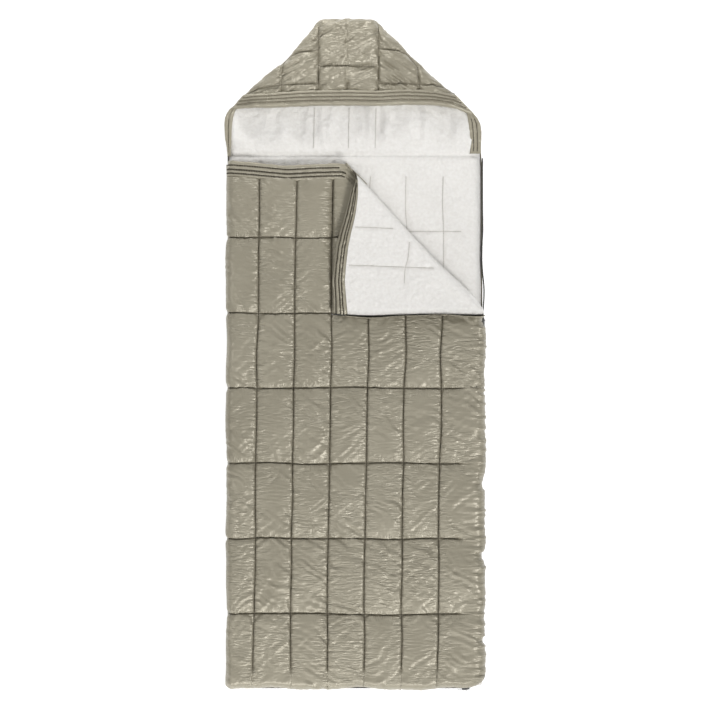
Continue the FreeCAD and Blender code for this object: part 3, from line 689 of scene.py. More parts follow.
# Beside the folded corner the third seam pulls a deep crease, gentle on its left and steep on its right.
crease_gap = x_line[columns_at[2]] - plan_x
crease = np.exp(-np.maximum(crease_gap, 0) / 0.016)
crease = np.where(crease_gap > -0.0002, crease, np.exp(crease_gap / 0.004))
dip = dip + 0.013 * crease * smooth((plan_y - 0.20) / 0.18) * smooth((0.565 - plan_y) / 0.05)
dip = dip + 0.010 * np.exp(-np.maximum(plan_y.max() - plan_y, 0) / 0.010)
top = PILLOW - dip * risen + 0.0015 * streaks(plan_x / 0.07, plan_y / 0.1, 5)
base_x, base_y = placed(plan_x, plan_y)
base = np.stack([base_x, base_y, EDGE_LOW + (top - EDGE_LOW) * risen], axis=2)
pinned = sewn.copy()
pinned[0] = pinned[-1] = True
pinned[:, 0] = pinned[:, -1] = True
side_gap = np.minimum(upright, RIGHT + 0.004 - plan_x)
end_gap = np.minimum(level, plan_y - FOOT + 0.004)
folds = gather_folds(plan_x, plan_y, side_gap, end_gap, 11) * smooth(seam / 0.005) * risen
edge_folds = np.exp(-np.maximum(RIGHT - 0.012 - plan_x, 0) / 0.020)
edge_folds = edge_folds * streaks(plan_x / 0.035, plan_y / 0.0085, 19)
folds = folds + 0.0032 * edge_folds * smooth(risen / 0.35)
front_mask = gather_mask(side_gap, end_gap, plan_x, plan_y, 201)
front = quilted(base, pinned, base, 0.09, 0.004, folds, seam, 0.8)

# Where the folded corner lies and on the corner itself, the filling is pressed flat.
pressed = smooth((plan_x - FLAP_LEFT + 0.04) / 0.05) * smooth((plan_y - FLAP_FOOT + 0.04) / 0.05)
cap = FRONT_TOP + 0.0015 + 0.05 * (1 - pressed)
over = np.maximum(front[..., 2] - (cap - 0.004), 0)
front[..., 2] -= over - 0.004 * (1 - np.exp(-over / 0.004))


def split_at_fold(points, keep_front):
    """The nodes on one side of the fold line, with the last ones drawn onto it."""
    distance = (points[..., 0] + points[..., 1] - FOLD_SUM) / math.sqrt(2)
    reach = CELL * 0.75
    sign = 1 if keep_front else -1
    kept = distance * sign < reach
    near = np.abs(distance) < reach
    moved = points.copy()
    for axis in (0, 1):
        moved[..., axis] -= np.where(near, distance / math.sqrt(2), 0)
    return moved, kept


front_part, in_front = split_at_fold(front, True)
grid_piece(
    "front_cover", front_part, satin, in_front, flip=True, mask=front_mask, body="bag",
    replaced=("front_shell", "front_wadding", "side_fold_shell"), slot="satin", fill=0.6,
)


# The folded-back corner at heights SKEW_AT: how far along x it leans, and how much narrower its band is.
SKEW_AT = [0.10, 0.126, 0.176, 0.229, 0.282, 0.335, 0.381, 0.425, 0.490, 0.515, 0.546, 0.60]
SKEW = [-0.002, -0.003, -0.008, -0.013, -0.008, -0.001, 0.011, 0.026, 0.0445, 0.052, 0.064, 0.070]
NARROWED = [0.006, 0.008, 0.014, 0.016, 0.016, 0.016, 0.015, 0.014, 0.012, 0.011, 0.011, 0.010]
ROLL = 0.037  # how far the fold's roll reaches past the fold line, along x


def skewed(points):
    """Slant of the folded-back corner: its band edge leans in towards the fold."""
    out = points.copy()
    x, y = points[..., 0], points[..., 1]
    room = np.maximum(FOLD_SUM + ROLL - (FLAP_LEFT + y), 0.02)
    share = np.clip((FOLD_SUM + ROLL - (x + y)) / room, 0, 1.1)
    in_band = np.clip(1 - (x - FLAP_LEFT) / (MOUTH - BAND_FOOT), 0, 1)
    shift = np.minimum(np.interp(y, SKEW_AT, SKEW), 0.85 * room) * share
    out[..., 0] += shift + np.interp(y, SKEW_AT, NARROWED) * in_band
    out[..., 1] += 0.004 * np.sin((x - FLAP_LEFT) * 16 + 2.6) * smooth((FLAP_FOOT + 0.12 - y) / 0.12) * share
    return out


flap_part, in_flap = split_at_fold(front, False)
grid_piece(
    "flap_cover", skewed(turned_back(flap_part)), satin, in_flap, flip=True, mask=front_mask, body="flap",
    replaced=("flap_shell", "flap_wadding"), slot="satin", fill=0.5,
)


# ---------------------------------------------------------------- linings
def pile(shape, seed):
    """Lumps of the plush's surface."""
    return 0.0009 * noise(shape, 2.2, seed) + 0.0005 * noise(shape, 6, seed + 1)


BACK_ROWS = [row + 0.02 for row in ROWS]
BACK_COLUMNS = [column + 0.002 for column in COLUMNS]


def seam_dip(values, lines):
    """1 on the nearest of some straight seams, fading beside it."""
    return np.exp(-np.abs(values[..., None] - np.array(lines)).min(-1) / 0.0045)


def lining_drift(x, y, seed):
    """How far sideways the lining's lengthwise seams run from their straight places."""
    return LEAN * smooth((MOUTH - y) / (MOUTH - FOOT)) + 0.004 * streaks(x / 0.2, y / 0.12, seed + 3)


def lining_height(xx, yy, seed, depth=0.0045):
    """Flat plush drawn in along the quilting lines of the bag's back; the hood's back is plain."""
    drift = lining_drift(xx, yy, seed)
    dips = seam_dip(xx - drift, BACK_COLUMNS) * smooth((ROW_END + 0.02 - xx) / 0.01)
    dips = np.maximum(dips, seam_dip(yy, BACK_ROWS) * smooth((ROW_END - xx) / 0.01))
    slow = 0.0016 * streaks(xx / 0.09, yy / 0.09, seed + 5)
    return slow - depth * dips * smooth((NECK - 0.012 - yy) / 0.008) + pile(xx.shape, seed)


LINING_CELL = 0.0048


def plain_grid(x0, x1, y0, y1, cell):
    columns = int(round((x1 - x0) / cell)) + 1
    rows = int(round((y1 - y0) / cell)) + 1
    return np.meshgrid(np.linspace(x0, x1, columns), np.linspace(y1, y0, rows))


# Outline of the back and the hood: heights, and where the left and right edges are there.
SLOPE_Y = [NECK - 0.04, 0.63, 0.648, 0.673, 0.700, 0.724, 0.741, 0.756, 0.770, 0.777]
SLOPE_LEFT = [LEFT, -0.400, -0.402, -0.4065, -0.4087, -0.4095, -0.408, -0.402, -0.392, -0.381]
SLOPE_RIGHT = [RIGHT, 0.396, 0.3955, 0.396, 0.3965, 0.393, 0.384, 0.371, 0.356, 0.349]
SLOPE_Y += [0.808, 0.8455, 0.871, 0.9084, 0.9255, 0.9485, 0.980, 1.0114, 1.0341, 1.0415]
SLOPE_LEFT += [-0.353, -0.3125, -0.281, -0.2325, -0.2145, -0.1924, -0.163, -0.135, -0.1136, -0.094]
SLOPE_RIGHT += [0.317, 0.2725, 0.2425, 0.204, 0.1852, 0.161, 0.128, 0.092, 0.0655, 0.044]


def hood_half_width(y):
    """Left and right outline of the bag's back and its hood at a height."""
    return np.interp(y, SLOPE_Y, SLOPE_LEFT), np.interp(y, SLOPE_Y, SLOPE_RIGHT)


def back_grid(cell, inset):
    """A grid over the whole back, foot to crown, in from its outline by inset."""
    rows = int(round((CROWN - FOOT) / cell)) + 1
    columns = int(round((RIGHT - LEFT) / cell)) + 1
    v = np.linspace(CROWN - inset, FOOT + inset, rows)
    left, right = hood_half_width(v)
    share = np.linspace(0, 1, columns)[None, :]
    xx = (left + inset)[:, None] * (1 - share) + (right - inset)[:, None] * share
    yy = np.repeat(v[:, None], columns, axis=1)
    xx, yy = round_corner(xx, yy, RIGHT - inset, 0.05)
    xx, yy = round_corner(xx, yy, LEFT + inset, 0.02)
    xx = xx - edge_dips(yy) * smooth((xx - RIGHT + 0.07) / 0.07)
    return xx, yy


def rim_rise(shape, cells):
    """1 inside a grid and 0 on its rim, over that many cells."""
    rows, columns = shape
    u = np.minimum(np.arange(columns), np.arange(columns)[::-1]) / cells
    v = np.minimum(np.arange(rows), np.arange(rows)[::-1]) / cells
    u, v = np.clip(u, 0, 1)[None, :], np.clip(v, 0, 1)[:, None]
    return (1 - (1 - u) ** 2) * (1 - (1 - v) ** 2)


NECK_TURN = 0.028  # half the stretch of cloth that bends at the neck
bx, by = back_grid(LINING_CELL, 0.004)
rise = rim_rise(bx.shape, 6)
BACK_SEED = 31
back_height = BACK_TOP + 0.003 + lining_height(bx, by, BACK_SEED)
back_height -= 0.008 * np.exp(-(((by - NECK) / 0.007) ** 2))
in_hood = smooth((by - NECK - 0.015) / 0.05)
waves = streaks(bx / 0.055, by / 0.15, 63) + 0.5 * streaks(bx / 0.025, by / 0.09, 64)
back_height += 0.0075 * in_hood * waves
lining_grid = np.stack([bx, by, 0.017 + (back_height - 0.017) * rise], axis=2)


def neck_bend(z):
    """The stretch over which cloth at that height turns from the bag to the hood."""
    return "bag", "hood", (0, NECK - NECK_TURN, z), (0, NECK + NECK_TURN, z)


grid_piece(
    "back_lining_pile", lining_grid, plush, flip=True, slot="plush", bend=neck_bend(BACK_TOP), fill=0.4,
    replaced=("back_lining", "hood_back_lining", "back_wadding", "hood_back_wadding"),
)

ux, uy = back_grid(0.008, 0.0)
under_rise = rim_rise(ux.shape, 5)
under = -lining_height(ux, uy, 41, 0.006)
under = 0.0006 + np.maximum(under, 0) * under_rise + (BACK_TOP - 0.012) * (1 - under_rise)
back_upright = np.abs(ux[..., None] - np.array(BACK_COLUMNS)).min(-1)
back_level = np.abs(uy[..., None] - np.array(BACK_ROWS)).min(-1)
grid_piece(
    "back_cover", np.stack([ux, uy, under], axis=2), satin, slot="satin", bend=neck_bend(0), fill=0.4,
    mask=gather_mask(back_upright, back_level, ux, uy, 221), replaced=("back_shell", "hood_back_shell"),
)

wall_y = np.linspace(MOUTH - 0.002, FOOT + 0.012, 420)[:, None]
turn = np.linspace(-1, 1, 9)[None, :]
wall_z = 0.0275 + 0.0125 * turn + 0 * wall_y
wall_x = LEFT + 0.004 - 0.007 * np.sqrt(1 - (turn * 0.9) ** 2) + left_wobble(wall_y) * 0.7
wall_grid = np.stack([wall_x, wall_y + 0 * turn, wall_z], axis=2)
grid_piece("side_wall", wall_grid, satin, flip=True, body="bag", slot="satin", fill=0.5)

fx, fy = plain_grid(LEFT + 0.02, RIGHT - 0.003, FOOT + 0.01, MOUTH - 0.012, 0.010)
front_under = FRONT_UNDER + 0.001 - lining_height(fx, fy, 51) * 0.6
grid_piece(
    "front_lining_pile", np.stack([fx, fy, front_under], axis=2), plush, (fx + fy) < FOLD_SUM + 0.002,
    body="bag", replaced=("front_lining", "side_fold_lining", "side_fold_wadding"), slot="plush", fill=0.4,
)

# ---------------------------------------------------------------- folded corner, lining side up
ROLL_LENGTH = 0.085
ROLL_AT = [0, 0.03, 0.10, 0.16, 0.31, 0.45, 0.60, 0.652, 0.668]
ROLL_OUT = [0.002, 0.024, 0.029, 0.026, 0.018, 0.015, 0.020, 0.012, 0.004]
BAND = MOUTH - BAND_FOOT
FLAP_TOP = 2 * FOLD_Z - FRONT_UNDER


FLAP_SEAMS = [
    [(-0.012, 0.396), (0.060, 0.394), (0.115, 0.391)],
    [(-0.012, 0.2775), (0.060, 0.2755), (0.150, 0.272), (0.245, 0.269)],
    [(0.168, 0.350), (0.166, 0.30), (0.159, 0.27), (0.158, 0.222)],
]


def flap_surface():
    """The corner's upper face and the roll it makes round the fold line, on one grid."""
    extra = ROLL_LENGTH * math.sqrt(2)
    steps = int(round((LEG + extra) / CELL))
    p = np.arange(steps + 1) * CELL
    q = np.arange(steps + 1)[::-1] * CELL
    pp, qq = np.meshgrid(p, q)
    d = (pp + qq - LEG) / math.sqrt(2)
    f = (pp - qq + LEG) / math.sqrt(2)
    x = FLAP_LEFT + pp
    y = FLAP_FOOT + qq
    turn = np.clip(d / ROLL_LENGTH, 0, 1) * math.pi
    out = np.interp(f, ROLL_AT, ROLL_OUT)
    past = np.maximum(d, 0)
    x = x - past / math.sqrt(2) + out * np.sin(turn) / math.sqrt(2)
    y = y - past / math.sqrt(2) + out * np.sin(turn) / math.sqrt(2)
    half = FLAP_TOP - FOLD_Z
    flat_part = smooth(-d / 0.03)
    valley = np.exp(-seam_distance(x, y, FLAP_SEAMS) / 0.0045)
    wave = 0.0022 * noise(pp.shape, 24, 61) * flat_part
    z = FOLD_Z + half * np.cos(turn) + wave - 0.0045 * valley + pile(pp.shape, 62)
    free_edge = 1 - smooth(pp / 0.02)
    zip_edge = 1 - smooth(qq / 0.016)
    z = z - 0.012 * free_edge - 0.006 * zip_edge
    return skewed(np.stack([x, y, z], axis=2)), pp, d, f


flap_grid, flap_p, flap_d, flap_f = flap_surface()
on_flap = (flap_d <= ROLL_LENGTH + CELL / 2) & (flap_f > 0.010) & (flap_f < 0.6655)
middle = (RIGHT + FLAP_LEFT) / 2, (MOUTH + FLAP_FOOT) / 2
FOLD_BEND = "bag", "flap", (*middle, FRONT_UNDER + 0.004), (*middle, FLAP_TOP - 0.014)
grid_piece(
    "flap_lining_pile", flap_grid, plush, on_flap & (flap_p >= BAND - CELL / 2), flip=True,
    replaced=("flap_lining",), slot="plush", bend=FOLD_BEND, fill=0.4,
)

STRIPS = 4  # padded strips across a wide band
PUFF = 0.0036  # how far a strip stands proud


def strip_puff(share, strips=STRIPS):
    """Cross-section of a band's padded strips: share runs 0 to 1 over its width."""
    t = (np.clip(share, 0, 1) * strips) % 1.0
    return PUFF * np.sqrt(np.clip(4 * t * (1 - t), 0, 1))


band_part = on_flap & (flap_p <= BAND + CELL / 2)
puff = strip_puff(flap_p / BAND) + 0.0006 * noise(flap_p.shape, 2.2, 71)
flap_band_grid = flap_grid + normals_of(flap_grid) * (puff - 0.001)[..., None]
grid_piece(
    "flap_band_top", flap_band_grid, band_satin_painted_light, band_part, flip=True, slot="satin", bend=FOLD_BEND, fill=0.4
)


# ---------------------------------------------------------------- bands
def edge_band(edge, towards, low, high, width, seed, closed=0):
    """Grid of a padded band folded round an edge, and the stitching rows of its two faces.

    edge is the polyline of its free edge, whose z is added to both faces, and towards the way in;
    low, high and width are single sizes or one for each point; closed is how many points the
    band takes to open from a pinched end."""
    count, inward = len(edge), inward_of(edge, towards)
    low, high, width = (np.broadcast_to(np.asarray(v, float), (count,))[:, None] for v in (low, high, width))
    radius = (high - low) / 2
    steps = int(width.max() / 0.0025)
    over = radius * 0.4 + (width - radius * 0.4) * np.linspace(1, 0, steps + 1)[None, :]
    turn = np.linspace(0, math.pi, 12)[None, 1:-1]
    inset = np.concatenate([over, radius * 0.4 * (1 - np.sin(turn)), over[:, ::-1]], axis=1)
    height = np.concatenate([high + 0 * over, low + radius * (1 + np.cos(turn)), low + 0 * over], axis=1)
    share = np.clip(inset / width, 0, 1)
    grid = edge[:, None, :] + inward[:, None, :] * inset[..., None]
    centre_z = (low + high) / 2 + edge[:, 2:3]
    tapered = 1 - smooth((share - 0.86) / 0.14)
    grid[..., 2] = centre_z + (height + edge[:, 2:3] - centre_z) * tapered
    n = normals_of(grid)
    if ((grid[..., 2] - centre_z) * n[..., 2]).mean() < 0:
        n = -n
    puffs = strip_puff(share)
    puffs = puffs + 0.0005 * noise(puffs.shape, 2.0, seed) + 0.0009 * noise(puffs.shape, 6, seed + 1)
    grid = grid + n * puffs[..., None]
    if closed:
        shut = np.sqrt(1 - (1 - np.clip(np.arange(count) / closed, 0, 1)) ** 2)[:, None]
        grid[..., 2] = centre_z + (grid[..., 2] - centre_z) * shut
    lines, under = [], []
    for k in range(1, STRIPS):
        column = int(round(steps * (1 - (k / STRIPS - 0.04) / 0.96)))
        column = min(max(column, 0), steps)
        lines.append(grid[:, column])
        under.append(grid[:, grid.shape[1] - 1 - column])
    return grid, lines, under


def inward_of(edge, towards):
    way = np.gradient(edge[:, :2], axis=0)
    way /= np.linalg.norm(way, axis=1, keepdims=True)
    n = np.stack([-way[:, 1], way[:, 0], np.zeros(len(edge))], axis=1)
    flip = np.sign((n[:, :2] * np.array(towards)).sum(axis=1, keepdims=True))
    return n * flip


BAND_LOW, BAND_HIGH = FRONT_UNDER + 0.004, FRONT_TOP - 0.006
mouth_line = resample(
    [
        (LEFT + 0.004, MOUTH + 0.008, -0.014),
        (LEFT + 0.018, MOUTH + 0.007, -0.004),
        (LEFT + 0.07, MOUTH + 0.003, 0),
        (-0.21, MOUTH - 0.008, 0),
        (-0.12, MOUTH - 0.003, 0),
        (FLAP_LEFT + 0.035, MOUTH - 0.001, 0),
        (FLAP_LEFT + 0.055, MOUTH - 0.008, 0),
        (FLAP_LEFT + 0.072, MOUTH - 0.022, 0),
        (FLAP_LEFT + 0.090, MOUTH - 0.040, 0),
        (FLAP_LEFT + 0.112, MOUTH - 0.062, 0),
    ],
    0.003, 6,
)
band_grid, band_lines, _ = edge_band(mouth_line, (0, -1), BAND_LOW, BAND_HIGH, BAND, 81, closed=5)
band_shown = band_grid[..., 0] + band_grid[..., 1] < FOLD_SUM + 0.046
grid_piece(
    "front_band", band_grid, band_satin_painted_light, band_shown, body="bag", replaced=("front_top_band",),
    slot="satin", fill=0.4,
)


def before_fold(line, spare=0.0):
    return line[line[:, 0] + line[:, 1] < FOLD_SUM + spare]


stitch_piece(
    "front_band_stitches", [before_fold(line, 0.010) for line in band_lines], thread, "bag",
    ("front_band_stitching",), thick=0.0026,
)

flap_line = resample(
    [
        (FLAP_LEFT + 0.001, FLAP_FOOT + 0.004, 0),
        (FLAP_LEFT, FLAP_FOOT + 0.2, 0),
        (FLAP_LEFT, MOUTH - 0.015, 0),
    ],
    0.003, 6,
)
flap_edge_grid, _, flap_under = edge_band(
    skewed(flap_line), (1, 0), 2 * FOLD_Z - BAND_HIGH, FLAP_TOP - 0.010, BAND, 91
)
edge_shown = flap_edge_grid[..., 0] + flap_edge_grid[..., 1] < FOLD_SUM + 0.015
grid_piece(
    "flap_band_edge", flap_edge_grid, band_satin_painted_light, edge_shown, body="flap", replaced=("flap_band",),
    slot="satin", fill=0.4,
)
under_rows = [before_fold(line) for line in flap_under]
stitch_piece("flap_edge_stitches", under_rows, thread, "flap", up=(0, 0, -1), thick=0.0020)
flap_rows = []
for k in range(1, STRIPS):
    column = nearest(flap_p[0], BAND * k / STRIPS)
    shown = band_part[:, column] & (flap_d[:, column] < 0)
    flap_rows.append(flap_band_grid[shown, column])
stitch_piece("flap_band_stitches", flap_rows, thread, "flap", ("flap_band_stitching",), thick=0.0025)

# ---------------------------------------------------------------- hood front
HOOD_LOW = 0.034
BRIM_LINE = [
    (-0.372, 0.782), (-0.336, 0.8055), (-0.255, 0.8125), (-0.112, 0.8243), (-0.026, 0.8265), (0.071, 0.825),
    (0.202, 0.8195), (0.300, 0.810), (0.330, 0.795),
]
BRIM_EDGE = [
    (-0.384, 0.771), (-0.320, 0.7735), (-0.255, 0.774), (-0.135, 0.7785), (-0.021, 0.780), (0.071, 0.778),
    (0.150, 0.7823), (0.2425, 0.7814), (0.300, 0.774), (0.340, 0.7625), (0.366, 0.753),
]
HOOD_SEAMS = [
    [(-0.1136, 1.016), (-0.1136, 0.826)],
    [(0.0738, 1.016), (0.0738, 0.826)],
    [(-0.0225, 0.850), (-0.0225, 0.828)],
    [(-0.1136, 0.901), (0.067, 0.901)],
    [
        (-0.1136, 0.951), (-0.1753, 0.9425), (-0.2045, 0.931), (-0.2238, 0.910), (-0.2285, 0.880),
        (-0.2285, 0.815),
    ],
    [(0.0738, 0.954), (0.128, 0.9485), (0.1625, 0.9385), (0.1967, 0.894), (0.2023, 0.820)],
    [(-0.1136, 0.847), (-0.170, 0.845), (-0.2285, 0.842), (-0.301, 0.831), (-0.335, 0.814)],
    [(0.0738, 0.847), (0.1625, 0.847), (0.2023, 0.8436), (0.2595, 0.8395), (0.295, 0.828), (0.316, 0.812)],
]


def curve_y(points, x):
    xs, ys = zip(*points)
    return np.interp(x, xs, ys)


def hood_plan(cell, inset):
    """Grid over the hood's front, from under its brim to its crown, right to its outline."""
    rows, columns = int(0.245 / cell), int(0.60 / cell)
    v = np.linspace(1, 0, rows)[:, None]
    u = np.linspace(0, 1, columns)[None, :]
    xx = np.zeros((rows, columns))
    for _ in range(12):
        low = curve_y(BRIM_LINE, xx) - 0.006
        yy = low + (CROWN - 0.0005 - inset - low) * v
        left, right = hood_half_width(yy)
        xx = left + inset + (right - left - 2 * inset) * u
    return xx, yy


hx, hy = hood_plan(0.0034, 0.0)
hood_left, hood_right = hood_half_width(hy)
rim_in = np.minimum(np.minimum(hx - hood_left, hood_right - hx) * 0.72, CROWN - hy)
hood_rise = np.sqrt(np.clip(1 - (1 - np.clip(rim_in / 0.030, 0, 1)) ** 2, 0, 1))
hood_seam = seam_distance(hx, hy, HOOD_SEAMS)
hood_across = seam_distance(hx, hy, [HOOD_SEAMS[i] for i in (3, 6, 7)])
hood_upright = seam_distance(hx, hy, [HOOD_SEAMS[i] for i in (0, 1, 2, 4, 5)])
centre_seam = np.exp(-(((hx + 0.026) / 0.004) ** 2)) * 0.0018
brim_near = np.maximum(hy - curve_y(BRIM_LINE, hx), 0)
hood_top = FRONT_TOP - 0.004 - 0.009 * np.exp(-hood_seam / 0.008) - centre_seam
hood_top = hood_top - 0.008 * np.exp(-brim_near / 0.008) + 0.002 * streaks(hx / 0.08, hy / 0.08, 24)
hood_base = np.stack([hx, hy, HOOD_LOW + (hood_top - HOOD_LOW) * hood_rise], axis=2)
hood_pinned = np.zeros(hx.shape, bool)
hood_targets = hood_base.copy()
for line in HOOD_SEAMS:
    for px, py in resample(np.array(line), 0.0015):
        node, off = nearest_node(hood_base, px, py)
        if off < 0.003:
            hood_pinned[node] = True
            hood_targets[node][:2] = px, py
for rim in (np.s_[0], np.s_[-1], np.s_[:, 0], np.s_[:, -1]):
    hood_pinned[rim] = True
hood_folds = gather_folds(hx * 0.9, -hy, hood_upright, hood_across, 37) * smooth(hood_seam / 0.006)
hood_slant = streaks((hx * 0.90 + hy * 0.43) / 0.045, (hy * 0.90 - hx * 0.43) / 0.0080, 51)
hood_other = streaks((hx * 0.84 - hy * 0.54) / 0.05, (hy * 0.84 + hx * 0.54) / 0.0080, 52)
hood_middle = smooth((0.075 - hx) / 0.02)
hood_slant = hood_slant * hood_middle + hood_other * (1 - hood_middle)
hood_folds = (0.8 * hood_folds + 0.0050 * hood_slant * smooth(hood_seam / 0.006)) * hood_rise
hood = quilted(hood_base, hood_pinned, hood_targets, 0.08, 0.003, hood_folds, hood_seam, 0.7)
grid_piece(
    "hood_cover", hood, satin, flip=True, mask=gather_mask(hood_upright, hood_across, hx, hy, 211),
    replaced=("hood_front_shell", "hood_front_wadding", "hood_gusset"), slot="satin",
    bend=("hood", "hood_front", (0, 0.9, 0.036), (0, 0.9, 0.052)), fill=0.5,
)

WALL_FOOT = 0.652
side_y = [y for y in SLOPE_Y if y > WALL_FOOT]
hood_rim = [(x, y, 0) for x, y in zip(SLOPE_LEFT[-len(side_y):], side_y)]
hood_rim += [(x, y, 0) for x, y in zip(SLOPE_RIGHT[-len(side_y):], side_y)][::-1]
hood_rim = resample(hood_rim, 0.004)
rim_out = -inward_of(hood_rim, (0, -1))
rim_out *= np.where((rim_out[:, :2] * (hood_rim[:, :2] - (-0.02, 0.75))).sum(axis=1) < 0, -1, 1)[:, None]
rim_turn = np.linspace(-1, 1, 9)
rim_bulge = -0.0045 + 0.005 * np.sqrt(1 - (rim_turn * 0.95) ** 2)
rim_grid = hood_rim[:, None, :] + rim_out[:, None, :] * rim_bulge[None, :, None]
rim_grid[..., 2] = 0.0265 + 0.0115 * rim_turn[None, :]
grid_piece("hood_side_wall", rim_grid, satin, body="hood", slot="satin", fill=0.5)

hood_threads = []
for line in HOOD_SEAMS:
    ticks = resample(line, 0.004)
    hood_threads.append(on_surface(ticks[ticks[:, 1] > curve_y(BRIM_LINE, ticks[:, 0]) + 0.002], hood))
stitch_piece("hood_stitches", hood_threads, hood_thread_painted_groove_shade, "hood_front", ("hood_quilting",), lift=0.0012)

kx, ky = hood_plan(0.009, 0.006)
hood_under = 0.0445 - pile(kx.shape, 57)
grid_piece(
    "hood_lining_pile", np.stack([kx, ky, hood_under], axis=2), plush, body="hood_front",
    replaced=("hood_front_lining",), slot="plush", fill=0.4,
)

brim_edge = resample(flat(BRIM_EDGE), 0.003, 8)
across = (brim_edge[:, 0] - brim_edge[0, 0]) / (brim_edge[-1, 0] - brim_edge[0, 0])
ends = smooth(np.minimum(across, 1 - across) / 0.10)
brim_width = (0.036 + 0.010 * smooth(np.minimum(across, 1 - across) / 0.3)) + 0.002
brim_low = 0.036 + 0.006 * ends
brim_high = brim_low + 0.012 + 0.015 * ends
brim_grid, brim_lines, _ = edge_band(brim_edge, (0, 1), brim_low, brim_high, brim_width, 97)
brim_left, brim_right = hood_half_width(brim_grid[..., 1])
brim_grid[..., 0] = np.clip(brim_grid[..., 0], brim_left + 0.001, brim_right - 0.001)
grid_piece(
    "hood_brim", brim_grid, band_satin_painted_light, body="hood_front", replaced=("hood_brim_band",),
    slot="satin", fill=0.4,
)


def inside_hood(line):
    low, high = hood_half_width(line[:, 1])
    return line[(line[:, 0] > low + 0.006) & (line[:, 0] < high - 0.006)]


stitch_piece(
    "brim_stitches", [inside_hood(line) for line in brim_lines], hood_thread_painted_groove_shade, "hood_front",
    ("hood_brim_stitching",), thick=0.0020,
)


# ---------------------------------------------------------------- bands at the sides of the face opening
def side_band(node, outer, inner, strips, seed):
    """A padded band between two upright curves, turned down over the outer one."""
    heights = np.linspace(outer[0][1], outer[-1][1], 60)
    out_x = curve_x(outer, heights)
    in_x = curve_x(inner, heights)
    turn = np.linspace(0.2, 1, 8) * math.pi / 2
    share = np.concatenate([np.linspace(0, 0.96, 26), 0.96 + 0.04 * np.sin(turn)])
    down = np.concatenate([np.zeros(26), 1 - np.cos(turn)])
    top_z = np.interp(heights, [0.62, 0.70, 0.775], [0.035, 0.038, 0.045])
    xx = in_x[:, None] + (out_x - in_x)[:, None] * share[None, :]
    yy = heights[:, None] + 0 * xx
    puffs = strip_puff(share[None, :] + 0 * xx, strips) + 0.0007 * noise(xx.shape, 2.5, seed)
    zz = top_z[:, None] + puffs - (top_z[:, None] - 0.012) * down[None, :]
    zz = zz - 0.010 * np.exp(-share / 0.03)[None, :]
    grid = np.stack([xx, yy, zz], axis=2)
    grid_piece(
        node + "_cover", grid, band_satin_painted_light, flip=out_x[0] < 0, replaced=(node,), slot="satin",
        bend=("hood", "hood_front", (0, 0.68, 0.04), (0, 0.765, 0.04)), fill=0.4,
    )
    return [grid[:, nearest(share, k / strips)] for k in range(1, strips)]


def curve_x(points, y):
    xs, ys = zip(*points)
    return np.interp(y, ys, xs)


left_outer = list(zip([LEFT] + SLOPE_LEFT[1:10], [0.622] + SLOPE_Y[1:10]))
left_inner = [(-0.389, 0.622), (-0.3885, 0.648), (-0.386, 0.673), (-0.384, 0.707), (-0.3817, 0.7325)]
left_inner += [(-0.3785, 0.753), (-0.3717, 0.768), (-0.368, 0.777)]
right_outer = list(zip(SLOPE_RIGHT[1:10], SLOPE_Y[1:10]))
right_inner = [(0.358, 0.63), (0.359, 0.658), (0.357, 0.683), (0.3546, 0.717), (0.3515, 0.742)]
right_inner += [(0.346, 0.777)]
side_lines = side_band("face_band_left", left_outer, left_inner, 2, 103)
side_lines += side_band("face_band_right", right_outer, right_inner, 3, 105)
side_lines = [line[(line[:, 1] < 0.74) & (line[:, 1] > 0.635)] for line in side_lines]
stitch_piece("face_band_stitches", side_lines, thread, "hood", ("face_band_stitching",))


def face_corner(name, slope):
    """Cloth from the back's rim up to a face band."""
    heights = np.linspace(0.662, 0.800, 48)
    low, high, lean, steep = 0.014, 0.0352, 0.094, 80.0
    top = high + lean * (heights - 0.68)
    edge = np.interp(heights, SLOPE_Y, slope)
    rise = np.linspace(0, 1, 18)
    zz = low + (top[:, None] - low) * rise[None, :]
    xx = (edge - 0.003 * np.sign(edge))[:, None] + 0 * zz
    grid = np.stack([xx, heights[:, None] + 0 * zz, zz], axis=2)
    climb = np.array([0, 1 / 0.085 - lean * steep, steep])
    start = np.array([0, 0.68, high])
    bend = "hood", "hood_front", tuple(start), tuple(start + climb / (climb**2).sum())
    grid_piece(name, grid, satin, flip=edge[0] < 0, slot="satin", bend=bend, fill=0.4)


face_corner("face_corner_left", SLOPE_LEFT)
face_corner("face_corner_right", SLOPE_RIGHT)

# ---------------------------------------------------------------- quilting stitches of the bag
bag_threads, corner_threads = [], []
for line in front_lines:
    rows, columns = zip(*line)
    points = front[list(rows), list(columns)]
    points = points[points[:, 2] > EDGE_LOW + 0.010]
    total = points[:, 0] + points[:, 1]
    bag_threads.append(points[total < FOLD_SUM - 0.002])
    corner_threads.append(skewed(turned_back(points[total > FOLD_SUM + 0.004])))
stitch_piece(
    "front_stitches", bag_threads, seam_thread_painted_groove_shade, "bag", ("front_quilting",), thick=0.0016, lift=0.0018
)
stitch_piece("flap_stitches", corner_threads, seam_thread_painted_groove_shade, "flap", ("flap_quilting",), up=(0, 0, -1))


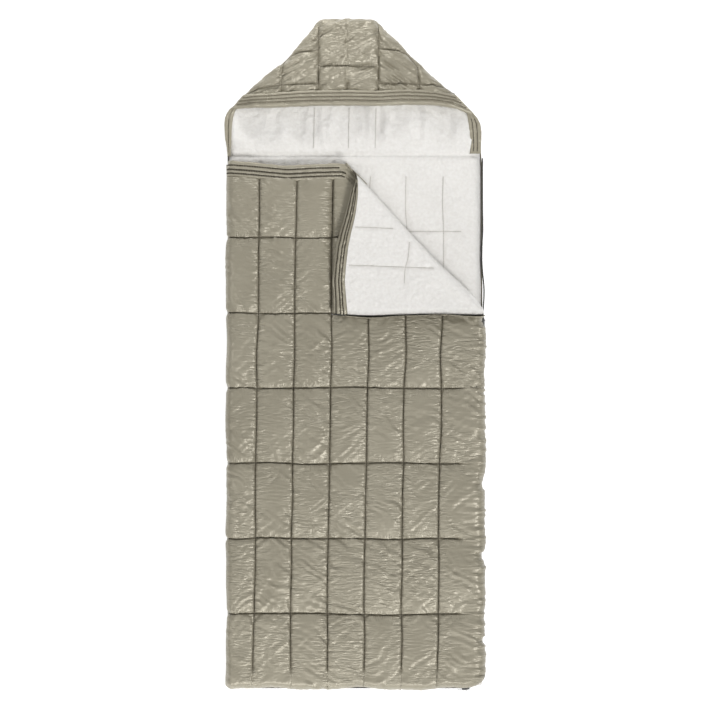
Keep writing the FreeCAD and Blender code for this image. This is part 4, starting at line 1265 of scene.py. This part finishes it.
back_lines = [resample([(place, 0.560), (place, COLUMN_END)], 0.01) for place in BACK_COLUMNS]
for line in back_lines:
    line[:, 0] += lining_drift(line[:, 0], line[:, 1], BACK_SEED)
back_lines += [resample([(LEFT + 0.03, place), (ROW_END - 0.005, place)], 0.01) for place in BACK_ROWS]
hood_lines = []
for place in (-0.130, -0.021, 0.063):
    hood_lines.append(resample([(place, NECK + NECK_TURN - 0.004), (place + 0.003, 0.775)], 0.008))
flap_lines = [skewed(flat(resample(line, 0.006)))[:, :2] for line in FLAP_SEAMS]
for name, lines, surface, body, replaced in (
    ("flap_lining_stitches", flap_lines, flap_grid, "flap", ()),
    ("back_stitches", back_lines, lining_grid, "bag", ("back_quilting",)),
    ("hood_back_stitches", hood_lines, lining_grid, "hood", ()),
):
    laid = [on_surface(line, surface) + (0, 0, 0.001) for line in lines]
    stitch_piece(name, laid, pale_thread_painted_seam_shade, body, replaced)


# ---------------------------------------------------------------- zip
def ribbon(path, outward, section):
    """Grid of a strip along a path: section lists (out, up) across it."""
    return np.stack([path + outward * out + np.array((0, 0, up)) for out, up in section], axis=1)


def zip_half(half, path, outward, section, height, body):
    """Half of the zip along a path: its woven tape, and its coil's teeth at an even pitch."""
    grid_piece(
        f"zip_tape_{half}_cloth", ribbon(path, outward, section), tape_cloth, body=body,
        replaced=(f"zip_tape_{half}",), slot="zip_tape",
    )
    ticks = resample(np.column_stack([path, outward]), 0.0024)
    middle, way = ticks[:, :3], ticks[:, 3:]
    upward = np.tile((0.0, 0.0, 1.0), (len(middle), 1))
    starts = middle - way * 0.0008 + upward * height
    ends = middle + way * 0.0022 + upward * height
    points, faces = capsules(starts, ends, upward, 0.0009, 0.0004)
    finish_mesh(
        f"zip_coil_{half}_teeth", points, faces, coil_nylon, body=body, replaced=(f"zip_coil_{half}",),
        slot="zip_coil",
    )


def foot_arc(corner_x, radius, count):
    """A quarter circle round a foot corner, from its side to the foot edge."""
    sign = 1 if corner_x > 0 else -1
    return [
        (corner_x - sign * radius + sign * radius * math.cos(a), FOOT + radius - radius * math.sin(a), 0)
        for a in np.linspace(0, math.pi / 2, count)
    ]


right_side = [(RIGHT, MOUTH + 0.018, 0), (RIGHT - 0.001, 0.36, 0), (RIGHT + 0.001, 0.11, 0)]
zip_path = resample(right_side + foot_arc(RIGHT, 0.055, 12) + [(LEFT + 0.045, FOOT, 0)], 0.006, 2)
zip_path[:, 0] += 0.0015 * streaks(zip_path[:, 1] / 0.10, 0 * zip_path[:, 1], 77) * (zip_path[:, 1] > 0.1)
zip_path[:, 0] -= edge_dips(zip_path[:, 1]) * (zip_path[:, 0] > RIGHT - 0.02)
zip_out = -inward_of(zip_path, (-0.6, 0.8))
back_section = [(-0.0020, 0.0300), (0.0, 0.0318), (0.0012, 0.030), (0.0014, 0.0165)]
zip_half("back", zip_path, zip_out, back_section, 0.0335, "bag")

closed_part = zip_path[:, 1] < FLAP_FOOT - 0.004
front_section = [(-0.0080, 0.0400), (-0.0020, 0.0396), (0.0006, 0.0386)]
zip_half("front", zip_path[closed_part], zip_out[closed_part], front_section, 0.0375, "bag")

# A satin tab closes the foot's left corner beyond the end of the zip.
tab_start, tab_end = (LEFT + 0.002, FOOT + 0.055, 0), (LEFT + 0.047, FOOT, 0)
tab_path = resample([tab_start] + foot_arc(LEFT + 0.002, 0.020, 8) + [tab_end], 0.004)
tab_section = [(-0.0060, 0.0410), (0.0004, 0.0380), (0.0024, 0.0300), (0.0022, 0.0200), (0.0004, 0.0110)]
tab_grid = ribbon(tab_path, -inward_of(tab_path, (0.7, 0.7)), tab_section)
grid_piece("zip_end_tab", tab_grid, band_satin_painted_light, body="bag", slot="satin", fill=0.4)

flap_ends = [(FLAP_LEFT + 0.004, FLAP_FOOT - 0.002, 0), (RIGHT - 0.004, FLAP_FOOT - 0.002, 0)]
flap_path = skewed(resample(flap_ends, 0.006))
flap_section = [(-0.012, 0.099), (-0.002, 0.0985), (0.0015, 0.095), (0.0010, 0.088)]
zip_half("flap", flap_path, -inward_of(flap_path, (0, 1)), flap_section, 0.0975, "flap")

# ---------------------------------------------------------------- carried-over CAD nodes
CARRIED = {
    "zip_top_stop_back": cast_metal, "zip_top_stop_flap": cast_metal, "zip_foot_stop": cast_metal,
    "main_slider_body": cast_metal, "foot_slider_body": cast_metal,
    "main_slider_pull": cast_metal, "foot_slider_pull": pull_black,
}
for node, material in CARRIED.items():
    carried = frame["nodes"][node]
    carried.data.materials.clear()
    carried.data.materials.append(material)
